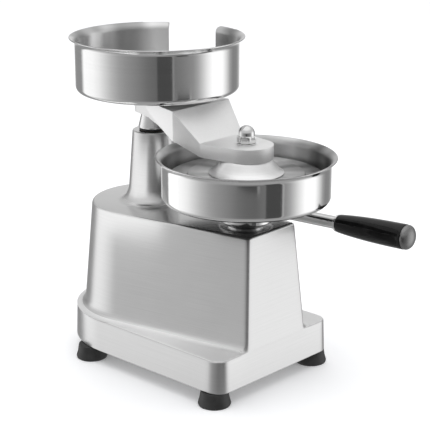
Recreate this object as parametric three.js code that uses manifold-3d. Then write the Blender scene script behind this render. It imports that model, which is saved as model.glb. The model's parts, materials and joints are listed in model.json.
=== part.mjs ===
// Patty press: a swing-aside press arm on a rear post, a side lever that lifts it, and an ejector
// that pushes the finished patty up out of its mould ring.
//
// Units are millimetres and +Z is up. Shapes are drawn about the mould axis, with the floor at
// z = 0, the operator at -Y, the post at +Y and the lever at +X. At the end the whole group is
// moved so that its origin is the centre of its base.

import * as THREE from 'three';
import { mergeVertices } from 'three/addons/utils/BufferGeometryUtils.js';
import Module from 'manifold-3d';

const wasm = await Module();
wasm.setup();

const DEG = Math.PI / 180;

// ---------------------------------------------------------------- driving dimensions

const GAP = 0.3; // left between pieces that touch
const SHEET = 1.5; // thickness of the stainless bowls

const PATTY_RADIUS = 65;
const RIM_RADIUS = 100;
const WALL_RADIUS = 93.5;
const BOWL_CORNER = 7; // radius between a bowl's floor and its wall
const FLARE_HEIGHT = 8; // height over which a bowl's lip bends out

const FOOT_HEIGHT = 17.4;
const PLINTH_TOP = 55.2;
const DECK_TOP = 181.6;
const DECK_THICKNESS = 5.5;
const WALL = 5; // casting wall
const BOWL_BASE = 209;
const BOWL_RIM = 258;
const TABLE_TOP = 237.5;
const TRAY_BASE = 313;
const TRAY_RIM = 374.6;
const TRAY_Y = 136.2;

const POST_Y = 144.8;
const POST_TOP = 265.4;
const POST_RADIUS = 23.7;

const BOSS_RADIUS = 17;
const SCREW_CLEARANCE = 0.3;

const PLINTH_HALF_WIDTH = 95.4;
const PLINTH_REAR_RADIUS = 94.6;
const PLINTH_FRONT_Y = -47.8;
const FOOT_X = 82.6;
const FOOT_FRONT_Y = -29.3;
const FOOT_REAR_Y = 168.3;

const ARM_TOP = 305.2;
const ARM_REAR_UNDERSIDE = 287.3;
const ARM_NOSE_TOP = 272.2;
const ARM_NOSE_UNDERSIDE = 256.8;

const SHAFT_Y = 179;
const SHAFT_Z = 154.1;
const SHAFT_RADIUS = 8.7;
const LEVER_X = 116;
const LEVER_TILT = 2.46 * DEG; // the lever points slightly up at rest
const LEVER_TRAVEL = 41 * DEG;
const CRANK_RADIUS = 34;
const CRANK_REST_ANGLE = 22 * DEG; // the crank pin sits this far below the shaft at rest
const CRANK_PIN_RADIUS = 5;

const HEAD_LIFT = CRANK_RADIUS * (Math.sin(CRANK_REST_ANGLE) + Math.sin(LEVER_TRAVEL - CRANK_REST_ANGLE));
const EJECTOR_LIFT = 17.5;

const CROSSHEAD_LOW = 124.1;
const CROSSHEAD_HIGH = 150.3;
const YOKE_HIGH = CROSSHEAD_LOW - GAP;
const YOKE_LOW = YOKE_HIGH - 6;

const SPINDLE_RADIUS = 11;
const JOURNAL_RADIUS = 9;
const ROD_RADIUS = 7;

// ---------------------------------------------------------------- materials

function material(color, roughness, metalness) {
  return new THREE.MeshStandardMaterial({ color, roughness, metalness });
}

const castAluminium = material(0xc4c6c8, 0.42, 1);
const satinAluminium = material(0xcfd0d2, 0.38, 1);
const polishedSteel = material(0xd6d8da, 0.12, 1);
const brightSteel = material(0xc8cacc, 0.25, 1);
const darkSteel = material(0x8d9094, 0.4, 1);
const bronze = material(0xb08d57, 0.35, 1);
const rubber = material(0x1a1a1a, 0.75, 0);
const blackPlastic = material(0x101010, 0.22, 0);

// ---------------------------------------------------------------- solids

// Turns a closed geometry into a solid that can be cut and joined.
function solid(geometry) {
  const bare = geometry.clone();
  bare.deleteAttribute('normal');
  bare.deleteAttribute('uv');
  const merged = mergeVertices(bare, 1e-4);
  const index = merged.index.array;
  const position = merged.attributes.position;
  const corner = [new THREE.Vector3(), new THREE.Vector3(), new THREE.Vector3()];
  const triangles = [];
  let volume = 0;
  for (let i = 0; i < index.length; i += 3) {
    const [a, b, c] = index.slice(i, i + 3);
    if (a === b || b === c || c === a) continue; // collapsed at an axis
    triangles.push(a, b, c);
    [a, b, c].forEach((vertex, k) => corner[k].fromBufferAttribute(position, vertex));
    volume += corner[0].dot(corner[1].cross(corner[2]));
  }
  const outward = volume > 0 ? triangles : triangles.reverse();
  return new wasm.Manifold(new wasm.Mesh({
    numProp: 3,
    vertProperties: position.array,
    triVerts: Uint32Array.from(outward),
  }));
}

function join(...solids) {
  return solids.reduce((sum, next) => sum.add(next));
}

function cut(body, ...tools) {
  return tools.reduce((rest, tool) => rest.subtract(tool), body);
}

// A turned solid about a vertical axis: profile points are [radius, z].
function turned(profile, segments = 24, x = 0, y = 0) {
  const points = profile.map(([radius, z]) => new THREE.Vector2(radius, z));
  const onAxis = profile[0][0] === 0 && profile.at(-1)[0] === 0;
  if (!onAxis) points.push(points[0].clone());
  const geometry = new THREE.LatheGeometry(points, segments);
  geometry.rotateX(Math.PI / 2);
  geometry.translate(x, y, 0);
  return solid(geometry);
}

function disc(radius, low, high, x = 0, y = 0, segments = 16) {
  return turned([[0, low], [radius, low], [radius, high], [0, high]], segments, x, y);
}

function tube(inner, outer, low, high, x = 0, y = 0, segments = 16) {
  return turned([[inner, low], [outer, low], [outer, high], [inner, high]], segments, x, y);
}

// A solid drawn about +Z at the origin, turned to lie along +X at a height and a depth.
function lyingAlongX(shape, y, z) {
  return shape.rotate([0, 90, 0]).translate([0, y, z]);
}

function block(low, high) {
  const size = high.map((value, k) => value - low[k]);
  const geometry = new THREE.BoxGeometry(...size);
  geometry.translate(...low.map((value, k) => value + size[k] / 2));
  return solid(geometry);
}

// An upright prism on an outline of [x, y] points.
function prism(outline, low, high) {
  const shape = new THREE.Shape(outline.map(([x, y]) => new THREE.Vector2(x, y)));
  const geometry = new THREE.ExtrudeGeometry(shape, { depth: high - low, bevelEnabled: false });
  geometry.translate(0, 0, low);
  return solid(geometry);
}

// A prism across X on an outline of [y, z] points.
function sidePrism(outline, left, right) {
  const shape = new THREE.Shape(outline.map(([y, z]) => new THREE.Vector2(y, z)));
  const geometry = new THREE.ExtrudeGeometry(shape, { depth: right - left, bevelEnabled: false });
  geometry.rotateX(Math.PI / 2).rotateZ(Math.PI / 2); // drawing plane to YZ, depth to +X
  geometry.translate(left, 0, 0);
  return solid(geometry);
}

function hexagon(acrossFlats, low, high, x = 0, y = 0) {
  const radius = acrossFlats / Math.sqrt(3);
  const corners = Array.from({ length: 6 }, (_, k) => {
    const angle = k * 60 * DEG;
    return [x + radius * Math.cos(angle), y + radius * Math.sin(angle)];
  });
  return prism(corners, low, high);
}

// A solid between level outlines that all have the same number of [x, y, z] points.
function loft(loops) {
  const count = loops[0].length;
  const positions = loops.flat(2);
  const index = [];
  for (let level = 0; level < loops.length - 1; level += 1) {
    for (let k = 0; k < count; k += 1) {
      const a = level * count + k;
      const b = level * count + (k + 1) % count;
      index.push(a, b, b + count, a, b + count, a + count);
    }
  }
  const flat = loops[0].map(([x, y]) => new THREE.Vector2(x, y));
  const last = (loops.length - 1) * count;
  for (const [a, b, c] of THREE.ShapeUtils.triangulateShape(flat, [])) {
    index.push(a, c, b, last + a, last + b, last + c);
  }
  const geometry = new THREE.BufferGeometry();
  geometry.setAttribute('position', new THREE.Float32BufferAttribute(positions, 3));
  geometry.setIndex(index);
  return solid(geometry);
}

function arc(x, y, radius, from, to, steps) {
  return Array.from({ length: steps + 1 }, (_, k) => {
    const angle = from + (to - from) * k / steps;
    return [x + radius * Math.cos(angle), y + radius * Math.sin(angle)];
  });
}

// Angle of the line that touches two circles on their +X side, as the direction of its normal.
function tangentNormal(small, large) {
  const dx = small.x - large.x;
  const dy = small.y - large.y;
  return Math.atan2(dy, dx) + Math.acos((large.radius - small.radius) / Math.hypot(dx, dy));
}

// Outline with two rounded front corners, straight sides and a round rear end about the post.
function pearOutline({ halfWidth, frontY, cornerRadius, rearRadius }, inset = 0) {
  const corner = Math.max(cornerRadius - inset, 0.5);
  const front = { x: halfWidth - inset - corner, y: frontY + inset + corner, radius: corner };
  const rear = { x: 0, y: POST_Y, radius: rearRadius - inset };
  const touch = tangentNormal(front, rear);
  return [
    ...arc(front.x, front.y, corner, -Math.PI / 2, touch, 3),
    ...arc(0, POST_Y, rear.radius, touch, Math.PI - touch, 18),
    ...arc(-front.x, front.y, corner, Math.PI - touch, 1.5 * Math.PI, 3),
  ];
}

function atHeight(outline, z) {
  return outline.map(([x, y]) => [x, y, z]);
}

// ---------------------------------------------------------------- assembly helpers

const press = new THREE.Group();

function addPiece(name, shape, finish) {
  const mesh = shape.getMesh();
  const geometry = new THREE.BufferGeometry();
  geometry.setAttribute('position', new THREE.BufferAttribute(mesh.vertProperties, 3));
  geometry.setIndex(new THREE.BufferAttribute(mesh.triVerts, 1));
  geometry.computeVertexNormals();
  const piece = new THREE.Mesh(geometry, finish);
  piece.name = name;
  press.add(piece);
}

function around(count, radius, x = 0, y = 0, firstAngle = 0) {
  return arc(x, y, radius, firstAngle, firstAngle + 2 * Math.PI, count).slice(0, count);
}

// A button-head screw, pointing down when the head is above the shank and up when it is below.
function screw(shankRadius, headRadius, headLow, headHigh, tip, x, y) {
  const shank = disc(shankRadius, Math.min(tip, headLow), Math.max(tip, headHigh), x, y, 8);
  return join(disc(headRadius, headLow, headHigh, x, y, 10), shank);
}

// ---------------------------------------------------------------- body

const plinthPlan = {
  halfWidth: PLINTH_HALF_WIDTH,
  frontY: PLINTH_FRONT_Y,
  cornerRadius: 13,
  rearRadius: PLINTH_REAR_RADIUS,
};

// The housing tapers from the plinth to the deck.
const housingFoot = { halfWidth: 50.2, frontY: -45.8, cornerRadius: 4, rearRadius: 83.6 };
const housingHead = { halfWidth: 39.7, frontY: -38.4, cornerRadius: 4, rearRadius: 72.2 };

function housingPlan(z) {
  const share = (z - PLINTH_TOP) / (DECK_TOP - PLINTH_TOP);
  const plan = {};
  for (const key of Object.keys(housingFoot)) {
    plan[key] = THREE.MathUtils.lerp(housingFoot[key], housingHead[key], share);
  }
  return plan;
}

function housingLoft(low, high, inset) {
  return loft([low, high].map((z) => atHeight(pearOutline(housingPlan(z), inset), z)));
}

function plinthLoft() {
  const levels = [[FOOT_HEIGHT, 0.8], [19, 0], [52.6, 0.8], [PLINTH_TOP, 2.2]];
  return loft(levels.map(([z, inset]) => atHeight(pearOutline(plinthPlan, inset), z)));
}

const POST_BORE = 15;
const BUSH_LENGTH = 20;
const LOWER_BUSH_LOW = CROSSHEAD_HIGH + HEAD_LIFT + 0.5; // just above the raised crosshead
const SPIGOT_RADIUS = 20;
const BUSH_SEAT_RADIUS = 12.3; // bore for the cross shaft bushes
const LEFT_BORE_END = -50.3;
const LEFT_BUSH_END = -38;
const RIGHT_BOSS_FACE = 73;
const RIGHT_BUSH_START = 49;
const footPlaces = [
  ['front_left', -FOOT_X, FOOT_FRONT_Y],
  ['front_right', FOOT_X, FOOT_FRONT_Y],
  ['rear_left', -FOOT_X, FOOT_REAR_Y],
  ['rear_right', FOOT_X, FOOT_REAR_Y],
];
const FOOT_SCREW_RADIUS = 3;
const FOOT_SCREW_SEAT = 9; // height of the seat for the screw's head inside the foot
const COVER_LOW = FOOT_HEIGHT + GAP;
const COVER_HIGH = COVER_LOW + SHEET;
const LEDGE_UNDERSIDE = PLINTH_TOP - WALL;

function postProfile() {
  const flare = [[44, DECK_TOP - 3], [41, DECK_TOP + 0.4], [36, 187], [31.5, 192], [28.8, 199]];
  const edge = [[POST_RADIUS, POST_TOP - 1.2], [POST_RADIUS - 1.2, POST_TOP]];
  return [[0, DECK_TOP - 3], ...flare, ...edge, [0, POST_TOP]];
}

function bodyCasting() {
  const outer = join(plinthLoft(), housingLoft(40, DECK_TOP, 0));
  const hollow = join(
    loft([FOOT_HEIGHT - 1, LEDGE_UNDERSIDE].map((z) => atHeight(pearOutline(plinthPlan, WALL), z))),
    housingLoft(LEDGE_UNDERSIDE - 2, DECK_TOP - DECK_THICKNESS, WALL),
  );
  const rightBoss = lyingAlongX(disc(BOSS_RADIUS, RIGHT_BUSH_START, RIGHT_BOSS_FACE), SHAFT_Y, SHAFT_Z);
  const leftBoss = lyingAlongX(disc(BOSS_RADIUS, -62, LEFT_BUSH_END), SHAFT_Y, SHAFT_Z).intersect(outer);
  const post = turned(postProfile(), 24, 0, POST_Y);
  const bushBoss = disc(POST_BORE + 6, LOWER_BUSH_LOW, DECK_TOP - 2, 0, POST_Y);
  const pillars = [];
  for (const [, x, y] of footPlaces) {
    pillars.push(disc(9, COVER_HIGH + GAP, LEDGE_UNDERSIDE + 1, x, y, 14).intersect(outer));
  }
  const holes = [
    disc(POST_BORE, POST_TOP - BUSH_LENGTH - 2, POST_TOP + 1, 0, POST_Y, 20),
    disc(POST_BORE + 1.5, LOWER_BUSH_LOW + BUSH_LENGTH, POST_TOP - BUSH_LENGTH - 1, 0, POST_Y, 20),
    disc(POST_BORE, LOWER_BUSH_LOW - 1, LOWER_BUSH_LOW + BUSH_LENGTH + GAP, 0, POST_Y, 20),
    disc(SPIGOT_RADIUS + 2 * GAP, 170, DECK_TOP + 1, 0, 0, 24),
    lyingAlongX(disc(BUSH_SEAT_RADIUS, LEFT_BORE_END, -30), SHAFT_Y, SHAFT_Z),
    lyingAlongX(disc(BUSH_SEAT_RADIUS, 30, RIGHT_BOSS_FACE + 1), SHAFT_Y, SHAFT_Z),
    ...footPlaces.map(([, x, y]) => disc(FOOT_SCREW_RADIUS + SCREW_CLEARANCE, FOOT_HEIGHT - 1, 40, x, y, 8)),
  ];
  return cut(join(outer.subtract(hollow), rightBoss, leftBoss, post, bushBoss, ...pillars), ...holes);
}

// The foot screws also hold the cover, which closes the casting from below.
function bottomCover() {
  const plate = prism(pearOutline(plinthPlan, WALL + 0.5), COVER_LOW, COVER_HIGH);
  const hole = FOOT_SCREW_RADIUS + SCREW_CLEARANCE;
  return cut(plate, ...footPlaces.map(([, x, y]) => disc(hole, COVER_LOW - 1, COVER_HIGH + 1, x, y, 8)));
}

function foot(x, y) {
  const top = FOOT_HEIGHT - GAP;
  const bore = FOOT_SCREW_RADIUS + 2 * SCREW_CLEARANCE;
  const recess = 6.5;
  const outside = [[recess, 0], [17.4, 0], [18.3, 1.2], [15.3, top]];
  const inside = [[bore, top], [bore, FOOT_SCREW_SEAT], [recess, FOOT_SCREW_SEAT]];
  return turned([...outside, ...inside], 16, x, y);
}

function addBody() {
  addPiece('body_casting', bodyCasting(), castAluminium);
  addPiece('bottom_cover', bottomCover(), brightSteel);
  for (const [place, x, y] of footPlaces) {
    addPiece(`foot_${place}`, foot(x, y), rubber);
    const head = [5, FOOT_SCREW_SEAT - GAP];
    addPiece(`foot_screw_${place}`, screw(FOOT_SCREW_RADIUS, 5.8, ...head, 36, x, y), darkSteel);
  }
}

function addPostFittings() {
  const bushOuter = POST_BORE - GAP;
  const bushInner = SPINDLE_RADIUS + GAP;
  const bush = (low, high) => tube(bushInner, bushOuter, low, high, 0, POST_Y);
  addPiece('post_bush_upper', bush(POST_TOP - BUSH_LENGTH, POST_TOP - GAP), bronze);
  addPiece('post_bush_lower', bush(LOWER_BUSH_LOW, LOWER_BUSH_LOW + BUSH_LENGTH), bronze);
  const wiper = tube(bushInner + 0.3, POST_BORE + 0.8, POST_TOP + GAP, POST_TOP + 2.2, 0, POST_Y);
  addPiece('post_wiper_ring', wiper, rubber);
}

// ---------------------------------------------------------------- lower bowl and mould

// Section of a round sheet-metal bowl with a flat floor, a rounded corner and a flared rim.
function bowlProfile(base, rim, floorHole) {
  const flare = RIM_RADIUS - WALL_RADIUS;
  const skin = (offset) => {
    const wall = WALL_RADIUS - offset;
    const corner = BOWL_CORNER - offset;
    const bend = arc(wall - corner, base + BOWL_CORNER, corner, -Math.PI / 2, 0, 3);
    const lip = Array.from({ length: 4 }, (_, k) => {
      const share = k / 3;
      return [wall + flare * (1 - Math.cos(share * Math.PI / 2)), rim - FLARE_HEIGHT * (1 - share)];
    });
    return [[floorHole, base + offset], ...bend, ...lip];
  };
  return [...skin(0), ...skin(SHEET).reverse()];
}

const boltCircle = around(3, 20, 0, 0, 90 * DEG);
const BOWL_SCREW_RADIUS = 2.5;
const BOWL_SCREW_HOLE = BOWL_SCREW_RADIUS + SCREW_CLEARANCE;
const BOWL_SCREW_TIP = 196;
const FLOOR_TOP = BOWL_BASE + SHEET;
const MOULD_FLOOR_LOW = FLOOR_TOP + GAP;
const MOULD_FLOOR_HIGH = MOULD_FLOOR_LOW + 2;

function addLowerBowl() {
  const holes = boltCircle.map(([x, y]) => disc(BOWL_SCREW_HOLE, BOWL_BASE - 1, FLOOR_TOP + 1, x, y, 8));
  addPiece('lower_bowl', cut(turned(bowlProfile(BOWL_BASE, BOWL_RIM, 9), 36), ...holes), polishedSteel);
}

function addBowlSupport() {
  const top = BOWL_BASE - GAP;
  const bore = 10.3;
  const seat = DECK_TOP + GAP;
  const flange = seat + 3.8;
  const neck = [[bore, 164], [SPIGOT_RADIUS, 164], [SPIGOT_RADIUS, seat], [24, seat], [24, flange]];
  const shape = turned([...neck, [29.3, flange], [30, flange + 0.8], [30, top], [bore, top]]);
  const holes = boltCircle.map(([x, y]) => disc(BOWL_SCREW_HOLE, BOWL_SCREW_TIP - 2, top + 1, x, y, 8));
  addPiece('bowl_support', cut(shape, ...holes), polishedSteel);
  const nut = tube(SPIGOT_RADIUS + 2 * GAP, 27, 166, DECK_TOP - DECK_THICKNESS - GAP, 0, 0, 24);
  const notches = around(4, 27).map(([x, y]) => disc(3, 160, 180, x, y, 8));
  addPiece('support_ring_nut', cut(nut, ...notches), darkSteel);
  addPiece('guide_bush', tube(ROD_RADIUS + GAP, 10, 166, top - GAP), bronze);
}

// The mould is a pan with a wide table round its mouth, screwed down through the bowl.
function addMould() {
  const table = TABLE_TOP - 3; // underside of the table
  const outside = [[9, MOULD_FLOOR_LOW], [70, MOULD_FLOOR_LOW], [70, table]];
  const edge = [[84, table], [85, table + 1], [85, TABLE_TOP - 0.6], [84.4, TABLE_TOP]];
  const inside = [[PATTY_RADIUS + 0.8, TABLE_TOP], [PATTY_RADIUS, TABLE_TOP - 0.8],
    [PATTY_RADIUS, MOULD_FLOOR_HIGH], [9, MOULD_FLOOR_HIGH]];
  const shape = turned([...outside, ...edge, ...inside], 36);
  const hole = [BOWL_SCREW_HOLE, MOULD_FLOOR_LOW - 1, MOULD_FLOOR_HIGH + 1];
  addPiece('mould_ring', cut(shape, ...boltCircle.map(([x, y]) => disc(...hole, x, y, 8))), polishedSteel);
  const headLow = MOULD_FLOOR_HIGH + GAP;
  boltCircle.forEach(([x, y], k) => {
    const shapeOfScrew = screw(BOWL_SCREW_RADIUS, 4.5, headLow, headLow + 2, BOWL_SCREW_TIP, x, y);
    addPiece(`bowl_screw_${k + 1}`, shapeOfScrew, brightSteel);
  });
}

// ---------------------------------------------------------------- ejector

const PLATE_LOW = 215.6;
const PLATE_HIGH = 219.6;
const ROD_LOW = YOKE_HIGH + HEAD_LIFT - EJECTOR_LIFT + 0.6; // the yoke meets it late in its travel
const ROD_HIGH = PLATE_LOW - GAP;
const ROD_COLLAR_LOW = ROD_LOW + 2;
const ROD_COLLAR_HIGH = ROD_COLLAR_LOW + 6;

function springCoil(radius, wire, low, high, turns) {
  const steps = turns * 8;
  const points = Array.from({ length: steps + 1 }, (_, k) => {
    const angle = k * 45 * DEG;
    const z = low + (high - low) * k / steps;
    return new THREE.Vector3(radius * Math.cos(angle), radius * Math.sin(angle), z);
  });
  const section = new THREE.Shape(around(6, wire).map(([x, y]) => new THREE.Vector2(x, y)));
  const path = new THREE.CatmullRomCurve3(points);
  return solid(new THREE.ExtrudeGeometry(section, { steps, extrudePath: path, bevelEnabled: false }));
}

function addEjector() {
  const headTop = PLATE_HIGH - 0.1;
  const countersink = turned([[0, PLATE_LOW - 1], [3.4, PLATE_LOW - 1], [3.4, PLATE_LOW + 0.6],
    [6.6, PLATE_HIGH + 0.1], [0, PLATE_HIGH + 0.1]], 24);
  const plate = disc(PATTY_RADIUS - 0.4, PLATE_LOW, PLATE_HIGH, 0, 0, 36);
  addPiece('ejector_plate', cut(plate, countersink), polishedSteel);
  const rod = disc(ROD_RADIUS, ROD_LOW, ROD_HIGH, 0, 0, 16);
  addPiece('ejector_rod', cut(rod, disc(3.3, 190, ROD_HIGH + 1, 0, 0, 8)), brightSteel);
  const screwSection = [[0, 194], [3, 194], [3, PLATE_LOW + 0.8], [6.1, headTop], [0, headTop]];
  addPiece('ejector_screw', turned(screwSection, 24), brightSteel);
  addPiece('rod_collar', tube(ROD_RADIUS + GAP, 12, ROD_COLLAR_LOW, ROD_COLLAR_HIGH), darkSteel);
  addPiece('ejector_spring', springCoil(9.3, 1.1, ROD_COLLAR_HIGH + 1.5, 164.2, 3.5), brightSteel);
}

// ---------------------------------------------------------------- lever

const hubCentre = new THREE.Vector3(LEVER_X, SHAFT_Y, SHAFT_Z);
const HUB_HALF = 12;
const GRIP_START = 220.2; // distances along the lever from the shaft's axis
const GRIP_END = 313.3;
const CAP_END = 322.3;
const HANDLE_BORE = 7.8;

// A solid drawn about +Z from the shaft's axis, laid along the lever.
function alongLever(shape) {
  return shape.rotate([90 - LEVER_TILT / DEG, 0, 0]).translate(hubCentre.toArray());
}

function addCrossShaft() {
  const left = LEFT_BORE_END + 0.8;
  const right = LEVER_X + HUB_HALF - 0.5;
  const keyway = block([33, SHAFT_Y - 2.3, SHAFT_Z + 6.4], [47, SHAFT_Y + 2.3, SHAFT_Z + 12]);
  const shaft = lyingAlongX(disc(SHAFT_RADIUS, left, right, 0, 0, 18), SHAFT_Y, SHAFT_Z);
  addPiece('cross_shaft', cut(shaft, keyway), brightSteel);
  const sleeve = (inner, outer, from, to) => lyingAlongX(tube(inner, outer, from, to), SHAFT_Y, SHAFT_Z);
  const bore = SHAFT_RADIUS + GAP;
  const outer = BUSH_SEAT_RADIUS - GAP;
  addPiece('shaft_bush_left', sleeve(bore, outer, LEFT_BORE_END + GAP, LEFT_BUSH_END), bronze);
  const flangeStart = RIGHT_BOSS_FACE + GAP;
  const flangeEnd = flangeStart + 2;
  const flange = sleeve(bore, 14.5, flangeStart, flangeEnd);
  addPiece('shaft_bush_right', join(sleeve(bore, outer, RIGHT_BUSH_START, flangeStart + 1), flange), bronze);
  addPiece('shaft_spacer', sleeve(bore, outer, flangeEnd + GAP, LEVER_X - HUB_HALF - GAP), brightSteel);
}

// Links are drawn in the YZ plane about the shaft's axis.
function addCrank() {
  const pinY = SHAFT_Y - CRANK_RADIUS * Math.cos(CRANK_REST_ANGLE);
  const pinZ = SHAFT_Z - CRANK_RADIUS * Math.sin(CRANK_REST_ANGLE);
  const from = 34;
  const to = 46;
  const large = { x: 0, y: 0, radius: 13.5 };
  const small = { x: 0, y: -CRANK_RADIUS, radius: 9 };
  const touch = tangentNormal(small, large);
  const outline = [
    ...arc(0, 0, large.radius, touch, Math.PI - touch, 20),
    ...arc(0, -CRANK_RADIUS, small.radius, Math.PI - touch, 2 * Math.PI + touch, 12),
  ];
  const turn = CRANK_REST_ANGLE;
  const placed = outline.map(([across, along]) => [
    SHAFT_Y + along * Math.cos(turn) - across * Math.sin(turn),
    SHAFT_Z + along * Math.sin(turn) + across * Math.cos(turn),
  ]);
  const shape = cut(
    sidePrism(placed, from, to),
    lyingAlongX(disc(SHAFT_RADIUS + GAP, from - 1, to + 1, 0, 0, 18), SHAFT_Y, SHAFT_Z),
    lyingAlongX(disc(CRANK_PIN_RADIUS + GAP, from - 1, to + 1), pinY, pinZ),
    block([from - 1, SHAFT_Y - 2.3, SHAFT_Z], [to + 1, SHAFT_Y + 2.3, SHAFT_Z + 11]),
  );
  addPiece('crank_arm', shape, darkSteel);
  addPiece('crank_pin', lyingAlongX(disc(CRANK_PIN_RADIUS, 21, to, 0, 0, 18), pinY, pinZ), brightSteel);
  const key = block([35, SHAFT_Y - 2, SHAFT_Z + 6.7], [45, SHAFT_Y + 2, SHAFT_Z + 10.7]);
  addPiece('crank_key', key, brightSteel);
}

function addLever() {
  const hubLow = LEVER_X - HUB_HALF;
  const hubHigh = LEVER_X + HUB_HALF;
  const socketEnd = 34;
  const barrel = lyingAlongX(disc(BOSS_RADIUS, hubLow, hubHigh, 0, 0, 18), SHAFT_Y, SHAFT_Z);
  const socket = alongLever(disc(11.5, 0, socketEnd, 0, 0, 16));
  const bore = SHAFT_RADIUS + GAP;
  const shaftBore = lyingAlongX(disc(bore, hubLow - 1, hubHigh + 1, 0, 0, 18), SHAFT_Y, SHAFT_Z);
  const rodBore = alongLever(disc(HANDLE_BORE, 5, socketEnd + 1, 0, 0, 16));
  const screwBore = disc(4, SHAFT_Z + 4, SHAFT_Z + 20, LEVER_X, SHAFT_Y, 20);
  addPiece('lever_hub', cut(join(barrel, socket), shaftBore, rodBore, screwBore), satinAluminium);
  addPiece('hub_set_screw', disc(3.6, SHAFT_Z + 9.1, SHAFT_Z + 16.2, LEVER_X, SHAFT_Y, 20), darkSteel);
  addPiece('handle_rod', alongLever(disc(HANDLE_BORE - GAP, 10.5, 300, 0, 0, 16)), brightSteel);
  const ferrule = tube(HANDLE_BORE, 10.2, GRIP_START - 3, GRIP_START - GAP);
  addPiece('grip_ferrule', alongLever(ferrule), polishedSteel);
  const grip = turned([[HANDLE_BORE, GRIP_START], [9.6, GRIP_START], [10.8, GRIP_START + 2.5],
    [12.9, GRIP_START + 28], [14.1, GRIP_START + 60], [14.4, GRIP_END - 10], [14, GRIP_END],
    [HANDLE_BORE, GRIP_END]]);
  addPiece('grip', alongLever(grip), blackPlastic);
  const cap = turned([[0, GRIP_END + GAP], [13.6, GRIP_END + GAP], [14, GRIP_END + 2], [12.5, GRIP_END + 5],
    [8, GRIP_END + 8], [0, CAP_END]]);
  addPiece('grip_end_cap', alongLever(cap), satinAluminium);
}

// ---------------------------------------------------------------- lifting head

const yokeScrewPlaces = [[14, POST_Y + 13], [-14, POST_Y - 13]];

function addCrosshead() {
  const pinZ = SHAFT_Z - CRANK_RADIUS * Math.sin(CRANK_REST_ANGLE);
  const slotHalfHeight = CRANK_PIN_RADIUS + 0.5;
  const body = block([-20, POST_Y - 18, CROSSHEAD_LOW], [32, POST_Y + 18, CROSSHEAD_HIGH]);
  const slot = block([19.7, POST_Y - 7, pinZ - slotHalfHeight], [33, POST_Y + 10, pinZ + slotHalfHeight]);
  const bore = disc(JOURNAL_RADIUS + GAP, CROSSHEAD_LOW - 1, CROSSHEAD_HIGH + 1, 0, POST_Y);
  const holes = yokeScrewPlaces.map(([x, y]) => disc(2.8, CROSSHEAD_LOW - 1, 138, x, y, 8));
  addPiece('crosshead', cut(body, slot, bore, ...holes), darkSteel);
}

function addLiftYoke() {
  const tip = { x: 0, y: 0, radius: 12 };
  const root = { x: 0, y: POST_Y, radius: 24 };
  const touch = tangentNormal(tip, root);
  const outline = [
    ...arc(0, POST_Y, root.radius, touch, Math.PI - touch, 16),
    ...arc(0, 0, tip.radius, Math.PI - touch, 2 * Math.PI + touch, 12),
  ];
  const holes = yokeScrewPlaces.map(([x, y]) => disc(2.8, YOKE_LOW - 1, YOKE_HIGH + 1, x, y, 8));
  const bore = disc(JOURNAL_RADIUS + GAP, YOKE_LOW - 1, YOKE_HIGH + 1, 0, POST_Y);
  addPiece('lift_yoke', cut(prism(outline, YOKE_LOW, YOKE_HIGH), bore, ...holes), darkSteel);
  yokeScrewPlaces.forEach(([x, y], k) => {
    addPiece(`yoke_screw_${k + 1}`, screw(2.5, 4.4, YOKE_LOW - 4, YOKE_LOW - GAP, 136, x, y), brightSteel);
  });
}

const SPINDLE_SHOULDER = CROSSHEAD_HIGH + GAP;
const SPINDLE_TOP = 303.7;
const LOCK_NUT_LOW = 106;
const THREAD_RADIUS = 8;

function addSpindle() {
  const shoulder = ARM_REAR_UNDERSIDE - GAP;
  const tail = [[0, LOCK_NUT_LOW - 3], [THREAD_RADIUS, LOCK_NUT_LOW - 3], [THREAD_RADIUS, YOKE_LOW - 2.4]];
  const lower = [[JOURNAL_RADIUS, YOKE_LOW - 2.4], [JOURNAL_RADIUS, SPINDLE_SHOULDER]];
  const middle = [[SPINDLE_RADIUS, SPINDLE_SHOULDER], [SPINDLE_RADIUS, shoulder]];
  const upper = [[JOURNAL_RADIUS, shoulder], [JOURNAL_RADIUS, SPINDLE_TOP], [0, SPINDLE_TOP]];
  const spindle = turned([...tail, ...lower, ...middle, ...upper], 20, 0, POST_Y);
  addPiece('spindle', cut(spindle, disc(5.3, 278, SPINDLE_TOP + 1, 0, POST_Y, 12)), brightSteel);
  const washerHigh = YOKE_LOW - GAP;
  const washer = tube(JOURNAL_RADIUS + GAP, 13, washerHigh - 1.8, washerHigh, 0, POST_Y);
  addPiece('spindle_washer', washer, brightSteel);
  const nut = hexagon(24, LOCK_NUT_LOW, washerHigh - 2.4, 0, POST_Y);
  const thread = disc(THREAD_RADIUS + GAP, LOCK_NUT_LOW - 1, YOKE_LOW, 0, POST_Y);
  addPiece('spindle_lock_nut', cut(nut, thread), darkSteel);
  const collar = turned([[SPINDLE_RADIUS + GAP, 268.2], [16.8, 268.2], [16.8, 269.4], [12.6, shoulder],
    [SPINDLE_RADIUS + GAP, shoulder]], 20, 0, POST_Y);
  addPiece('spindle_collar', collar, satinAluminium);
}

const PAD_TOP = TRAY_BASE - GAP;
const trayScrewPlaces = around(3, 18.2, 0, POST_Y, 90 * DEG);
const TRAY_SCREW_RADIUS = 2;
const TRAY_SCREW_HOLE = TRAY_SCREW_RADIUS + SCREW_CLEARANCE;
const TRAY_SCREW_TIP = 298;
const COUNTERBORE_FLOOR = 304;
const NOSE_Y = -2.2;
const NOSE_RADIUS = 28.3;
const ARM_BENDS = [{ halfWidth: 34.9, y: 36.8 }, { halfWidth: 45.8, y: 68 }]; // lower, then upper

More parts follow.
